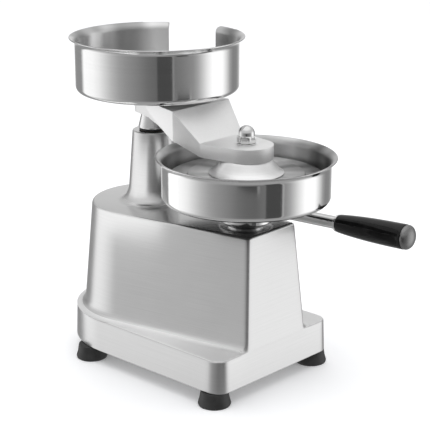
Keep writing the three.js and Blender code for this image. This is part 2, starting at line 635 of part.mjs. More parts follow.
function armPlan() {
  const [lower, upper] = ARM_BENDS;
  const nose = { x: 0, y: NOSE_Y, radius: NOSE_RADIUS };
  const heel = { x: 0, y: POST_Y, radius: 20.7 };
  const noseTouch = Math.PI - tangentNormal({ x: -lower.halfWidth, y: lower.y, radius: 0 }, nose);
  const heelTouch = tangentNormal({ x: upper.halfWidth, y: upper.y, radius: 0 }, heel);
  return [
    ...arc(nose.x, nose.y, nose.radius, -Math.PI - noseTouch, noseTouch, 22),
    [lower.halfWidth, lower.y],
    [upper.halfWidth, upper.y],
    ...arc(heel.x, heel.y, heel.radius, heelTouch, Math.PI - heelTouch, 16),
    [-upper.halfWidth, upper.y],
    [-lower.halfWidth, lower.y],
  ];
}

function addPressArm() {
  const [lower, upper] = ARM_BENDS;
  const arch = [[33, ARM_NOSE_UNDERSIDE], [43, 258], [66, 270.6], [98, 281.8], [108, 284.6]];
  const rear = [[122, ARM_REAR_UNDERSIDE], [180, ARM_REAR_UNDERSIDE], [180, ARM_TOP]];
  const slope = [[upper.y, ARM_TOP], [lower.y, ARM_NOSE_TOP]];
  const side = [[-40, ARM_NOSE_TOP], [-40, ARM_NOSE_UNDERSIDE], ...arch, ...rear, ...slope];
  const plan = prism(armPlan(), ARM_NOSE_UNDERSIDE - 10, ARM_TOP + 10);
  const casting = sidePrism(side, -60, 60).intersect(plan);
  const pad = disc(24, ARM_TOP - 1, PAD_TOP, 0, POST_Y, 20);
  const shape = cut(
    join(casting, pad),
    disc(JOURNAL_RADIUS + GAP, 280, 310, 0, POST_Y),
    disc(12.5, COUNTERBORE_FLOOR, PAD_TOP + 1, 0, POST_Y),
    disc(STUD_BORE, ARM_NOSE_UNDERSIDE - 1, ARM_NOSE_TOP + 1),
    ...trayScrewPlaces.map(([x, y]) => disc(TRAY_SCREW_HOLE, TRAY_SCREW_TIP - 2, PAD_TOP + 1, x, y, 8)),
  );
  addPiece('press_arm', shape, satinAluminium);
  const washerTop = COUNTERBORE_FLOOR + 2;
  addPiece('arm_washer', tube(5.4, 11.6, COUNTERBORE_FLOOR + GAP, washerTop, 0, POST_Y), brightSteel);
  const head = hexagon(16, washerTop + GAP, PAD_TOP - 0.6, 0, POST_Y);
  addPiece('arm_screw', join(head, disc(5, 280, washerTop + 1, 0, POST_Y, 20)), brightSteel);
}

const STUD_BORE = 6.3;
const HUB_TOP = ARM_NOSE_UNDERSIDE - GAP;
const PRESS_PLATE_LOW = TABLE_TOP + 0.4;
const PRESS_PLATE_HIGH = PRESS_PLATE_LOW + 2;
const HUB_BASE = PRESS_PLATE_HIGH + GAP;

function addPressHead() {
  const foot = [[STUD_BORE, HUB_BASE], [41.6, HUB_BASE], [41.6, HUB_BASE + 1.2]];
  const hub = turned([...foot, [36, 246], [31, 251], [28, HUB_TOP], [STUD_BORE, HUB_TOP]], 28);
  const headTop = HUB_BASE + 2.6;
  const headRadius = 11.4;
  const countersink = turned([[0, PRESS_PLATE_LOW - 0.1], [headRadius + GAP, PRESS_PLATE_LOW - 0.1],
    [STUD_BORE, headTop], [0, headTop]], 16);
  addPiece('press_hub', cut(hub, countersink), satinAluminium);
  const plate = disc(PATTY_RADIUS - 0.5, PRESS_PLATE_LOW, PRESS_PLATE_HIGH, 0, 0, 36);
  addPiece('press_plate', cut(plate, countersink), polishedSteel);
  const studRadius = STUD_BORE - 0.4;
  const stud = turned([[0, PRESS_PLATE_LOW + 0.1], [headRadius - 0.4, PRESS_PLATE_LOW + 0.1],
    [studRadius, headTop - GAP], [studRadius, 288], [0, 288]], 16);
  addPiece('press_stud', stud, brightSteel);
  const washerTop = ARM_NOSE_TOP + 1.3;
  addPiece('press_washer', tube(STUD_BORE, 10.8, ARM_NOSE_TOP + GAP, washerTop), brightSteel);
  const nutLow = washerTop + GAP;
  const domeRadius = 9.3;
  const domeBase = 283.7;
  const crown = arc(0, domeBase, domeRadius, 0, Math.PI / 2, 4).slice(0, -1);
  const dome = turned([[0, 280], [domeRadius, 280], ...crown, [0, domeBase + domeRadius]], 18);
  const capNut = cut(join(hexagon(19, nutLow, 281.8), dome), disc(STUD_BORE - 0.1, nutLow - 1, 288.4));
  addPiece('dome_nut', capNut, polishedSteel);
}

const NOTCH_DIRECTION = 17; // degrees from +X towards +Y
const NOTCH_WIDTH = 63;
const NOTCH_FLOOR = TRAY_BASE + 9;

function addPaperTray() {
  const shell = turned(bowlProfile(TRAY_BASE, TRAY_RIM, 0), 36, 0, TRAY_Y);
  const notch = block([60, -NOTCH_WIDTH / 2, NOTCH_FLOOR], [110, NOTCH_WIDTH / 2, TRAY_RIM + 2])
    .rotate([0, 0, NOTCH_DIRECTION]).translate([0, TRAY_Y, 0]);
  const floor = TRAY_BASE + SHEET;
  const holes = trayScrewPlaces.map(([x, y]) => disc(TRAY_SCREW_HOLE, TRAY_BASE - 1, floor + 1, x, y, 8));
  addPiece('paper_tray', cut(shell, notch, ...holes), polishedSteel);
  const headLow = floor + GAP;
  trayScrewPlaces.forEach(([x, y], k) => {
    const shape = screw(TRAY_SCREW_RADIUS, 3.8, headLow, headLow + 2, TRAY_SCREW_TIP, x, y);
    addPiece(`tray_screw_${k + 1}`, shape, brightSteel);
  });
}

// ---------------------------------------------------------------- whole press

addBody();
addPostFittings();
addLowerBowl();
addBowlSupport();
addMould();
addEjector();
addCrossShaft();
addCrank();
addLever();
addCrosshead();
addLiftYoke();
addSpindle();
addPressArm();
addPressHead();
addPaperTray();

const extent = new THREE.Box3().setFromObject(press);
const middle = extent.getCenter(new THREE.Vector3());
press.position.set(-middle.x, -middle.y, -extent.min.z);

export default press;
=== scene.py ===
"""Looks of the patty press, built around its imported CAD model.

Each visible part is drawn again as a fine mesh in the place of its CAD node, and every part takes
a procedural material. Shapes are drawn in millimetres in the row frame: +Z is up, the operator
stands at -Y and the lever is at +X. A mesh is turned into metres when it is made.
"""

import json
import math

import bmesh
import bpy
from mathutils import Matrix, Vector


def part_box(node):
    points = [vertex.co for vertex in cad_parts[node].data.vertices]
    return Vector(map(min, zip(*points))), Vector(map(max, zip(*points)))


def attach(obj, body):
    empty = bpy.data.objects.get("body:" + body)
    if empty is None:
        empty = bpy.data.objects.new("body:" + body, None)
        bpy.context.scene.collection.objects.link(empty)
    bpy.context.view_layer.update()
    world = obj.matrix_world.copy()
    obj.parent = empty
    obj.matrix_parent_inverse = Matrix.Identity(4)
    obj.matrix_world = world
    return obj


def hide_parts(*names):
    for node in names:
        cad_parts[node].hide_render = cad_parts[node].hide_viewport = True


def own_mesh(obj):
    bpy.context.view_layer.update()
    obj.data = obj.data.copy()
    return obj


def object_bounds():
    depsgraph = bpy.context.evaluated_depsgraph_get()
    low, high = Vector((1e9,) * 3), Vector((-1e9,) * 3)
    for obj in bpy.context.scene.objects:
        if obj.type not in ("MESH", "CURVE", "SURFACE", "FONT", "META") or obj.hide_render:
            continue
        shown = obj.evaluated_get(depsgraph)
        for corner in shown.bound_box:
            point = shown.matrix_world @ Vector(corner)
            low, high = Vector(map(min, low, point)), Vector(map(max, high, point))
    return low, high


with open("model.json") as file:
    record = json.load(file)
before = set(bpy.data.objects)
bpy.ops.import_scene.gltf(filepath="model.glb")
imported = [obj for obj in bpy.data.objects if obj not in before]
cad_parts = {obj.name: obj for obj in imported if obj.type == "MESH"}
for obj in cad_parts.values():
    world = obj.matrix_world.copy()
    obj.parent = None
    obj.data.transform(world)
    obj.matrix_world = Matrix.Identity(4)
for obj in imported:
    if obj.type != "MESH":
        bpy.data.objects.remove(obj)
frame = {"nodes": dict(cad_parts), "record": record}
cad_low, cad_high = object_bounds()

MM = 0.001
TURN = 2 * math.pi
TINY = 1e-6
RECORD = frame["record"]
BODY_OF = {node: body for body, nodes in RECORD["behaviour"]["bodies"].items() for node in nodes}
SLOT_OF = {part["node"]: part["material_slot"] for part in RECORD["subparts"]}


def corners(node):
    """Lowest and highest corner of a CAD node, in millimetres."""
    low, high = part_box(node)
    return low / MM, high / MM


def middle(node):
    low, high = corners(node)
    return (low + high) / 2


def heights(node):
    low, high = corners(node)
    return low.z, high.z


def ends_along_x(node):
    low, high = corners(node)
    return low.x, high.x


def size(node):
    low, high = corners(node)
    return high - low


def radius_of(node):
    """Radius of a node that is round about an upright axis."""
    return size(node).x / 2


# ---------------------------------------------------------------- sizes taken from the frame

MOULD = middle("mould_ring").xy
POST = middle("post_wiper_ring").xy
TRAY = Vector((MOULD.x, middle("paper_tray").y))
SHAFT = middle("shaft_spacer").yz
LEVER_X = middle("lever_hub").x
FOOT_TOP, POST_TOP = heights("body_casting")
BOWL_BASE, BOWL_RIM = heights("lower_bowl")
TRAY_BASE, TRAY_RIM = heights("paper_tray")
RIM_RADIUS = radius_of("lower_bowl")
SUPPORT_LOW, SUPPORT_TOP = heights("bowl_support")
HUB_BASE, HUB_TOP = heights("press_hub")
COLLAR_LOW, COLLAR_TOP = heights("spindle_collar")
PAD_TOP = heights("press_arm")[1]
ARM_NOSE_UNDERSIDE = heights("press_arm")[0]

# ---------------------------------------------------------------- sizes of the drawn shapes

GAP = 0.3
SHEET = 1.5
WALL = 3.8
PLINTH_TOP = 55.2
DECK_THICKNESS = 5.5
DECK_TOP = heights("support_ring_nut")[1] + GAP + DECK_THICKNESS
POST_RADIUS = 23.7
POST_BORE = 15
WALL_RADIUS = 93.5
ARM_TOP = 305.2
ARM_REAR_UNDERSIDE = 287.3
ARM_NOSE_TOP = 272.2


# ---------------------------------------------------------------- outlines and sections

def on_circle(centre, radius, angle):
    return Vector((centre[0] + radius * math.cos(angle), centre[1] + radius * math.sin(angle)))


def arc(centre, radius, start, end, steps):
    return [on_circle(centre, radius, start + (end - start) * k / steps) for k in range(steps + 1)]


def rounded(points, closed=False, steps=5):
    """A polyline of (x, y, radius) with each corner turned into an arc of that radius."""
    path = []
    last = len(points) - 1
    for k, (x, y, radius) in enumerate(points):
        corner = Vector((x, y))
        if radius == 0 or (not closed and k in (0, last)):
            path.append(corner)
            continue
        back = Vector(points[k - 1][:2]) - corner
        ahead = Vector(points[(k + 1) % len(points)][:2]) - corner
        half = back.angle(ahead) / 2
        reach = min(radius / math.tan(half), 0.49 * back.length, 0.49 * ahead.length)
        radius = reach * math.tan(half)
        bisector = (back.normalized() + ahead.normalized()).normalized()
        centre = corner + bisector * (radius / math.sin(half))
        first = corner + back.normalized() * reach - centre
        final = corner + ahead.normalized() * reach - centre
        start = math.atan2(first.y, first.x)
        sweep = (math.atan2(final.y, final.x) - start + math.pi) % TURN - math.pi
        path += arc(centre, radius, start, start + sweep, steps)
    return path


def circle(centre, radius, count, turn=0.0):
    return [on_circle(centre, radius, turn + TURN * k / count) for k in range(count)]


def quarter_turn(steps):
    return [math.pi / 2 * k / steps for k in range(steps + 1)]


def spread(path, count):
    """Points evenly spaced along a path, count of them, ends included."""
    lengths = [0.0]
    for a, b in zip(path, path[1:]):
        lengths.append(lengths[-1] + (b - a).length)
    result = []
    k = 0
    for step in range(count):
        target = lengths[-1] * step / (count - 1)
        while k < len(path) - 2 and lengths[k + 1] < target:
            k += 1
        span = max(lengths[k + 1] - lengths[k], TINY)
        result.append(path[k].lerp(path[k + 1], (target - lengths[k]) / span))
    return result


def bezier(a, b, c, d, steps):
    a, b, c, d = Vector(a), Vector(b), Vector(c), Vector(d)
    curve = []
    for k in range(steps + 1):
        t = k / steps
        s = 1 - t
        curve.append(s ** 3 * a + 3 * s * s * t * b + 3 * s * t * t * c + t ** 3 * d)
    return curve


def thick(path, thickness):
    """Closed section of a sheet whose outer skin is the path and whose free edge is rounded."""
    inner = []
    for k, point in enumerate(path):
        along = (path[min(k + 1, len(path) - 1)] - path[max(k - 1, 0)]).normalized()
        inner.append(point + Vector((-along.y, along.x)) * thickness)
    edge = (path[-1] + inner[-1]) / 2
    across = path[-1] - edge
    start = math.atan2(across.y, across.x)
    tip = arc(edge, thickness / 2, start, start + math.pi, 6)
    return path[:-1] + tip + inner[-2::-1]


def pin(radius, low, high):
    """Section of a plain round bar or bore."""
    return [(0, low), (radius, low), (radius, high), (0, high)]


def bar(radius, low, high, edge):
    """Section of a round bar with rounded ends."""
    return rounded([(0, low, 0), (radius, low, edge), (radius, high, edge), (0, high, 0)])


def sleeve(bore, radius, low, high, low_edge, high_edge):
    """Section of a ring with rounded outer edges."""
    corner_points = [(bore, low, 0), (radius, low, low_edge), (radius, high, high_edge), (bore, high, 0)]
    return rounded(corner_points, closed=True)


def tangent_normal(small, small_radius, large, large_radius):
    """Direction of the normal of the line that touches both circles on their +X side."""
    offset = small - large
    return math.atan2(offset.y, offset.x) + math.acos((large_radius - small_radius) / offset.length)


# ---------------------------------------------------------------- meshes

def turned(section, centre=(0, 0), segments=128):
    """A turned solid about an upright axis. The section is a list of (radius, height)."""
    vertices, faces, rings = [], [], []
    for radius, z in section:
        first = len(vertices)
        if radius < 1e-3:
            vertices.append((centre[0], centre[1], z))
            rings.append([first] * segments)
        else:
            vertices += lifted(circle(centre, radius, segments), z)
            rings.append(list(range(first, first + segments)))
    for low, high in zip(rings, rings[1:] + rings[:1]):
        for k in range(segments):
            n = (k + 1) % segments
            face = list(dict.fromkeys((low[k], low[n], high[n], high[k])))
            if len(face) > 2:
                faces.append(face)
    return vertices, faces


def loft(loops, ring=False):
    """A skin over loops of equally many points, capped at both ends or closed into a ring."""
    count = len(loops[0])
    vertices = [tuple(point) for loop in loops for point in loop]
    faces = []
    for level in range(len(loops) - (0 if ring else 1)):
        low = level * count
        high = (level + 1) % len(loops) * count
        for k in range(count):
            n = (k + 1) % count
            faces.append((low + k, low + n, high + n, high + k))
    if not ring:
        faces.append(tuple(range(count)))
        faces.append(tuple(range(len(vertices) - count, len(vertices))))
    return vertices, faces


def lifted(outline, z):
    return [(x, y, z) for x, y in outline]


def prism(outline, low, high):
    return loft([lifted(outline, low), lifted(outline, high)])


def placed(shape, matrix):
    vertices, faces = shape
    return [tuple(matrix @ Vector(vertex)) for vertex in vertices], faces


def along_x(shape):
    """Lays a shape drawn about +Z along +X, on the axis of the cross shaft."""
    return placed(shape, Matrix.Translation((0, *SHAFT)) @ Matrix.Rotation(math.pi / 2, 4, "Y"))


def new_object(name, data):
    made = bpy.data.objects.new(name, data)
    bpy.context.scene.collection.objects.link(made)
    return made


def drawn(name, shape):
    """An object made of a shape in millimetres, with its faces pointing out."""
    vertices, faces = shape
    mesh = bpy.data.meshes.new(name)
    mesh.from_pydata([Vector(vertex) * MM for vertex in vertices], [], faces)
    work = bmesh.new()
    work.from_mesh(mesh)
    bmesh.ops.remove_doubles(work, verts=work.verts, dist=1e-6)
    bmesh.ops.dissolve_degenerate(work, edges=work.edges, dist=1e-7)
    bmesh.ops.recalc_face_normals(work, faces=work.faces)
    work.to_mesh(mesh)
    work.free()
    return new_object(name, mesh)


def apply_modifiers(piece):
    view = bpy.context.evaluated_depsgraph_get()
    mesh = bpy.data.meshes.new_from_object(piece.evaluated_get(view))
    piece.modifiers.clear()
    piece.data = mesh


def combine(piece, operation, shapes):
    for shape in shapes:
        tool = drawn("tool", shape)
        boolean = piece.modifiers.new("boolean", "BOOLEAN")
        boolean.operation = operation
        boolean.solver = "EXACT"
        boolean.object = tool
        apply_modifiers(piece)
        bpy.data.objects.remove(tool)
    return piece


def cut(piece, *shapes):
    return combine(piece, "DIFFERENCE", shapes)


def join(piece, *shapes):
    return combine(piece, "UNION", shapes)


def bevel(piece, width):
    modifier = piece.modifiers.new("bevel", "BEVEL")
    modifier.width = width * MM
    modifier.segments = 3
    modifier.limit_method = "ANGLE"
    modifier.angle_limit = math.radians(30)
    modifier.miter_outer = "MITER_ARC"
    apply_modifiers(piece)
    return piece


def soften(piece, voxel, rounds):
    """Turns sharp inside and outside corners into cast ones."""
    remesh = piece.modifiers.new("remesh", "REMESH")
    remesh.mode = "VOXEL"
    remesh.voxel_size = voxel * MM
    smooth = piece.modifiers.new("smooth", "SMOOTH")
    smooth.factor = 0.5
    smooth.iterations = rounds
    apply_modifiers(piece)
    return piece


def dress(piece, material, *nodes, sharp=32):
    """Shades a piece, gives it its material and lets it stand for CAD nodes on their body."""
    for polygon in piece.data.polygons:
        polygon.use_smooth = True
    piece.data.set_sharp_from_angle(angle=math.radians(sharp))
    piece.data.materials.clear()
    piece.data.materials.append(material)
    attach(piece, BODY_OF[nodes[0]])
    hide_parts(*nodes)
    return piece


def turned_part(name, node, section, material, centre, segments=128):
    dress(drawn(name, turned(section, centre, segments)), material, node)


def part_along_x(name, material, section, *nodes):
    dress(drawn(name, along_x(turned(section, segments=96))), material, *nodes)


# ---------------------------------------------------------------- materials

NOISE_RANGE = (0.3, 0.7)  # most values of a noise lie in it


class Nodes:
    """Short names for making and joining the nodes of one tree."""

    def __init__(self, tree):
        self.tree = tree

    def node(self, kind, **inputs):
        made = self.tree.nodes.new(kind)
        self.fill(made, **inputs)
        return made

    def fill(self, node, **inputs):
        """Feeds the named inputs of a node, where _ stands for a space."""
        for name, value in inputs.items():
            self.feed(node.inputs[name.replace("_", " ")], value)

    def feed(self, socket, value):
        if isinstance(value, bpy.types.NodeSocket):
            self.tree.links.new(value, socket)
        else:
            socket.default_value = value

    def maths(self, operation, first, second=0.0):
        made = self.node("ShaderNodeMath")
        made.operation = operation
        self.feed(made.inputs[0], first)
        self.feed(made.inputs[1], second)
        return made.outputs[0]

    def ranged(self, value, start, end, low=0.0, high=1.0):
        made = self.node("ShaderNodeMapRange", Value=value, From_Min=start, From_Max=end, To_Min=low,
                         To_Max=high)
        return made.outputs["Result"]

    def combined(self, x, y, z):
        return self.node("ShaderNodeCombineXYZ", X=x, Y=y, Z=z).outputs[0]

    def mixed(self, share, first, second):
        made = self.node("ShaderNodeMix")
        made.data_type = "RGBA"
        self.fill(made, Factor=share, A=first, B=second)
        return made.outputs["Result"]


class Look(Nodes):
    """A principled material with the textures that the finishes share."""

    def __init__(self, name, metallic, roughness, colour):
        self.material = bpy.data.materials.new(name)
        self.material.use_nodes = True
        self.material.diffuse_color = (*colour, 1)
        super().__init__(self.material.node_tree)
        self.surface(Metallic=metallic, Roughness=roughness, Base_Color=(*colour, 1))
        self.place = self.node("ShaderNodeTexCoord").outputs["Object"]

    def surface(self, **inputs):
        self.fill(self.tree.nodes["Principled BSDF"], **inputs)

    def stretched(self, scale):
        return self.node("ShaderNodeMapping", Vector=self.place, Scale=scale).outputs["Vector"]

    def noise(self, scale, place=None, detail=4.0):
        made = self.node("ShaderNodeTexNoise", Vector=place or self.place, Scale=scale, Detail=detail)
        return made.outputs["Fac"]

    def blended(self, first, second, share):
        """A share of the first value and the rest of the second."""
        rest = self.maths("MULTIPLY", second, 1 - share)
        return self.maths("ADD", self.maths("MULTIPLY", first, share), rest)

    def between(self, value, low, high):
        """Takes a noise value to a range."""
        return self.ranged(value, *NOISE_RANGE, low, high)

    def tinted(self, value, dark, light):
        """Colours the surface from dark to light, and returns that colour."""
        ramp = self.node("ShaderNodeValToRGB", Fac=value)
        for stop, position, colour in zip(ramp.color_ramp.elements, NOISE_RANGE, (dark, light)):
            stop.position = position
            stop.color = (*colour, 1)
        self.surface(Base_Color=ramp.outputs["Color"])
        return ramp.outputs["Color"]

    def rough(self, value, low, high):
        self.surface(Roughness=self.between(value, low, high))

    def brushed_around(self, strength):
        """Stretches the gloss across fine lines that run round an upright axis."""
        tangent = self.node("ShaderNodeTangent")
        tangent.direction_type = "RADIAL"
        tangent.axis = "Z"
        self.surface(Anisotropic=strength, Anisotropic_Rotation=0.25, Tangent=tangent.outputs["Tangent"])

    def bumped(self, height, strength, distance):
        made = self.node("ShaderNodeBump", Height=height, Strength=strength, Distance=distance * MM)
        self.surface(Normal=made.outputs["Normal"])


def grey(value):
    return (value, value, value)


def brushed_casting():
    """Cast aluminium, brushed level round its sides and along its flat tops.

    The deck is smoother than the sides, and the ledge of the plinth is rougher and has a lighter base colour,
    which is painted light for the top light it catches.
    """
    look = Look("cast_aluminium", 1.0, 0.32, grey(0.67))
    look.brushed_around(0.6)
    sides = look.noise(1.0, look.stretched((14, 14, 1500)), detail=3.0)
    tops = look.noise(1.0, look.stretched((1100, 9, 14)), detail=3.0)
    normal = look.node("ShaderNodeNewGeometry").outputs["Normal"]
    upwards = look.node("ShaderNodeSeparateXYZ", Vector=normal).outputs["Z"]
    level = look.maths("GREATER_THAN", upwards, 0.8)
    lines = look.node("ShaderNodeMix", Factor=level, A=sides, B=tops).outputs["Result"]
    clouds = look.noise(22.0, detail=5.0)
    mixed = look.blended(lines, clouds, 0.65)
    colour = look.tinted(mixed, grey(0.64), grey(0.71))
    roughness = look.between(mixed, 0.29, 0.37)
    height = look.node("ShaderNodeSeparateXYZ", Vector=look.place).outputs["Z"]
    # Painted highlight: the plinth's level ledge takes a near-white base colour and more roughness.
    ledge = look.maths("MULTIPLY", level, look.maths("LESS_THAN", height, PLINTH_TOP * MM * 1.5))
    change = look.maths("SUBTRACT", look.maths("MULTIPLY", ledge, 0.33), look.maths("MULTIPLY", level, 0.1))
    look.surface(Base_Color=look.mixed(ledge, colour, (*grey(0.95), 1)),
                 Roughness=look.maths("ADD", roughness, change))
    look.bumped(lines, 0.05, 0.04)
    return look.material


LINES_PER_METRE = 1400.0


def spun_steel(name, centre, roughness=0.09, value=0.78, stretch=0.0, painted_sheen=0.0, sheen_phase=0.0):
    """Polished or satin sheet steel with faint lines turned round an upright axis.

    The streaks are painted sheen: soft light and dark bands of base colour across those lines, which stand in
    for reflections; the phase turns where the bright bands fall.
    """
    look = Look(name, 1.0, roughness, grey(value))
    if stretch:
        look.brushed_around(stretch)
    shift = (-centre[0] * MM, -centre[1] * MM, 0)
    shifted = look.node("ShaderNodeMapping", Vector=look.place, Location=shift)
    parts = look.node("ShaderNodeSeparateXYZ", Vector=shifted.outputs["Vector"])
    x, y, z = (parts.outputs[axis] for axis in "XYZ")
    squares = look.maths("ADD", look.maths("MULTIPLY", x, x), look.maths("MULTIPLY", y, y))
    radius = look.maths("SQRT", squares)
    around = look.combined(look.maths("MULTIPLY", radius, LINES_PER_METRE),
                           look.maths("MULTIPLY", z, LINES_PER_METRE), look.maths("MULTIPLY", x, 6.0))
    lines = look.noise(1.0, around, detail=2.0)
    # Painted sheen: light and dark bands of base colour round the axis, standing in for reflections.
    if painted_sheen:
        direction = look.combined(look.maths("DIVIDE", x, radius), look.maths("DIVIDE", y, radius), sheen_phase)
        tone = look.noise(2.2, direction, detail=1.0)
    else:
        tone = look.blended(lines, look.noise(14.0), 0.5)
    contrast = painted_sheen or 0.03
    look.tinted(tone, grey(value - contrast), grey(value + contrast))
    look.rough(lines, roughness - 0.02, roughness + 0.04)
    look.bumped(lines, 0.035, 0.02)
    return look.material


def satin_metal(name, value, roughness):
    """Blasted or tumbled metal with a fine even grain."""
    look = Look(name, 1.0, roughness, grey(value))
    fine = look.noise(900.0, detail=3.0)
    clouds = look.noise(30.0, detail=5.0)
    mixed = look.blended(fine, clouds, 0.45)
    look.tinted(mixed, grey(value - 0.05), grey(value + 0.05))
    look.rough(mixed, roughness - 0.06, roughness + 0.06)
    look.bumped(fine, 0.12, 0.06)
    return look.material


def turned_metal(name, colour, roughness, axis="Z"):
    """Machined metal with fine tool lines across one axis."""
    look = Look(name, 1.0, roughness, colour)
    scale = [2600 if letter == axis else 10 for letter in "XYZ"]
    lines = look.noise(1.0, look.stretched(scale), detail=2.0)
    mixed = look.blended(lines, look.noise(60.0), 0.5)
    look.tinted(mixed, tuple(c * 0.92 for c in colour), tuple(min(c * 1.08, 1) for c in colour))
    look.rough(mixed, roughness - 0.05, roughness + 0.07)
    look.bumped(lines, 0.05, 0.02)
    return look.material


def matt_rubber():
    look = Look("black_rubber", 0.0, 0.55, grey(0.02))
    fine = look.noise(1600.0, detail=2.0)
    clouds = look.noise(45.0, detail=5.0)
    look.tinted(clouds, grey(0.012), grey(0.03))
    look.rough(clouds, 0.42, 0.62)
    look.bumped(fine, 0.15, 0.05)
    return look.material


def glossy_plastic():
    look = Look("black_grip", 0.0, 0.12, grey(0.006))
    look.surface(Specular_IOR_Level=0.28)
    ripple = look.noise(90.0, detail=3.0)
    look.tinted(ripple, grey(0.004), grey(0.008))
    look.rough(ripple, 0.08, 0.16)
    look.bumped(ripple, 0.04, 0.1)
    return look.material


CASTING = brushed_casting()
BOWL_STEEL = spun_steel("polished_steel_bowl", MOULD)
TRAY_STEEL = spun_steel("polished_steel_tray", TRAY)
# Inside finishes: satin steel whose darker base colours, lower in the bowl than in the tray, are painted
# shade, with painted sheen bands placed by their phase.
BOWL_INSIDE = spun_steel("satin_steel_bowl_painted_sheen", MOULD, 0.3, 0.46, stretch=0.9, painted_sheen=0.34, sheen_phase=3.9)
TRAY_INSIDE = spun_steel("satin_steel_tray_painted_sheen", TRAY, 0.3, 0.62, stretch=0.9, painted_sheen=0.34, sheen_phase=2.6)
CHROME = spun_steel("chrome", MOULD, roughness=0.04, value=0.72)
BRIGHT_STEEL = spun_steel("polished_steel_fittings", MOULD, roughness=0.07, value=0.8)
SATIN = satin_metal("satin_aluminium", 0.95, 0.52)
HUB_SATIN = turned_metal("turned_aluminium", grey(0.9), 0.36)
MACHINED = turned_metal("machined_steel", grey(0.66), 0.2)
COLLAR_STEEL = turned_metal("turned_collar", grey(0.72), 0.16)
ROD_STEEL = turned_metal("rod_steel", grey(0.72), 0.12, axis="Y")
DARK = turned_metal("dark_steel", grey(0.3), 0.38)
BRONZE = turned_metal("bronze", (0.58, 0.42, 0.22), 0.3)
RUBBER = matt_rubber()
GRIP = glossy_plastic()
CAP_SATIN = satin_metal("cap_aluminium", 0.27, 0.3)
NODE_LOOKS = {
    "cast_aluminium": CASTING,
    "satin_aluminium": SATIN,
    "polished_steel": BRIGHT_STEEL,
    "machined_steel": MACHINED,
    "dark_steel": DARK,
    "bronze": BRONZE,
    "black_rubber": RUBBER,
    "black_grip": GRIP,
}


# ---------------------------------------------------------------- body casting

FRONT_HALF = 46.2  # half the width of the flat front that the plinth and the housing share
FRONT_POINTS = 17
CORNER_POINTS = 18
SIDE_POINTS = 36
REAR_POINTS = 84
CORNER_FADE = 5  # points over which the plinth's rounded edge grows beside the housing
PLINTH_PLAN = {"half": 95.4, "front": -47.8, "corner": 17, "rear": 94.6}
PLINTH_DRAFT = 1.5  # how much narrower the plinth is at its top edge
HOUSING_FOOT = {"half": 50.2, "front": -46.7, "corner": 4, "rear": 83.6}
HOUSING_HEAD = {"half": 39.7, "front": -38.4, "corner": 4, "rear": 72.2}


def half_outline(plan, fan):
    """Right half of a plan from its front middle to its rear middle, about the mould axis.

    The corner group takes in the straight front beyond FRONT_HALF, the corner and a length of the
    side called fan.
    """
    post = POST - MOULD
    centre = Vector((plan["half"] - plan["corner"], plan["front"] + plan["corner"]))
    touch = tangent_normal(centre, plan["corner"], post, plan["rear"])
    corner_end = on_circle(centre, plan["corner"], touch)
    rear_start = on_circle(post, plan["rear"], touch)
    first = min(FRONT_HALF, centre.x)
    front = [Vector((0, plan["front"])), Vector((first, plan["front"]))]
    front_line = spread(front, FRONT_POINTS // 2 + 1)
    corner = arc(centre, plan["corner"], -math.pi / 2, touch, 16)
    side_start = corner_end.lerp(rear_start, fan / (rear_start - corner_end).length)
    if fan == 0:
        around = spread([front_line[-1], *corner, side_start], CORNER_POINTS)
    else:
        beside = spread([corner_end, side_start], CORNER_POINTS - CORNER_FADE + 1)
        around = spread(corner, CORNER_FADE) + beside[1:]
    side = spread([side_start, rear_start], SIDE_POINTS)
    rear = arc(post, plan["rear"], touch, math.pi / 2, REAR_POINTS // 2)
    return front_line + around[1:] + side[1:] + rear[1:]


def ring_of(plan, fan=0.0):
    """Closed outline of a plan: each point with its outward normal."""
    right = half_outline(plan, fan)
    left = [Vector((-point.x, point.y)) for point in reversed(right[1:-1])]
    outline = right + left
    count = len(outline)
    ring = []
    for k, point in enumerate(outline):
        along = outline[(k + 1) % count] - outline[k - 1]
        ring.append((point + MOULD, Vector((along.y, -along.x)).normalized()))
    return ring


def edge_shares(count):
    """How much of a rounded edge each point has: none on the shared front, all of it elsewhere."""
    distances = [min(k, count - k) - FRONT_POINTS // 2 for k in range(count)]
    return [min(max(distance / CORNER_FADE, 0.0), 1.0) for distance in distances]


PLINTH_RING = ring_of(PLINTH_PLAN)
FOOT_RING = ring_of(HOUSING_FOOT, fan=32)
HEAD_RING = ring_of(HOUSING_HEAD, fan=32)
EDGE_SHARES = edge_shares(len(PLINTH_RING))
ALL_ROUND = [1.0] * len(PLINTH_RING)


def plinth_loop(inset, z, shares=ALL_ROUND, draft=0.0):
    return [(*(point - normal * (draft + inset * share)), z)
            for (point, normal), share in zip(PLINTH_RING, shares)]


def housing_loop(inset, z, shares=ALL_ROUND):
    """The housing tapers from the plinth to the deck. A fillet, which is a negative inset, only
    spreads sideways and back, so that the front stays flat."""
    rise = (z - PLINTH_TOP) / (DECK_TOP - PLINTH_TOP)
    loop = []
    for (low, normal), (high, _), share in zip(FOOT_RING, HEAD_RING, shares):
        offset = Vector((normal.x, max(normal.y, 0.0))) if inset < 0 else normal
        loop.append((*(low.lerp(high, rise) - offset * inset * share), z))
    return loop


def post_loop(radius, z):
    return [(*(POST + (point - POST).normalized() * radius), z) for point, _ in HEAD_RING]


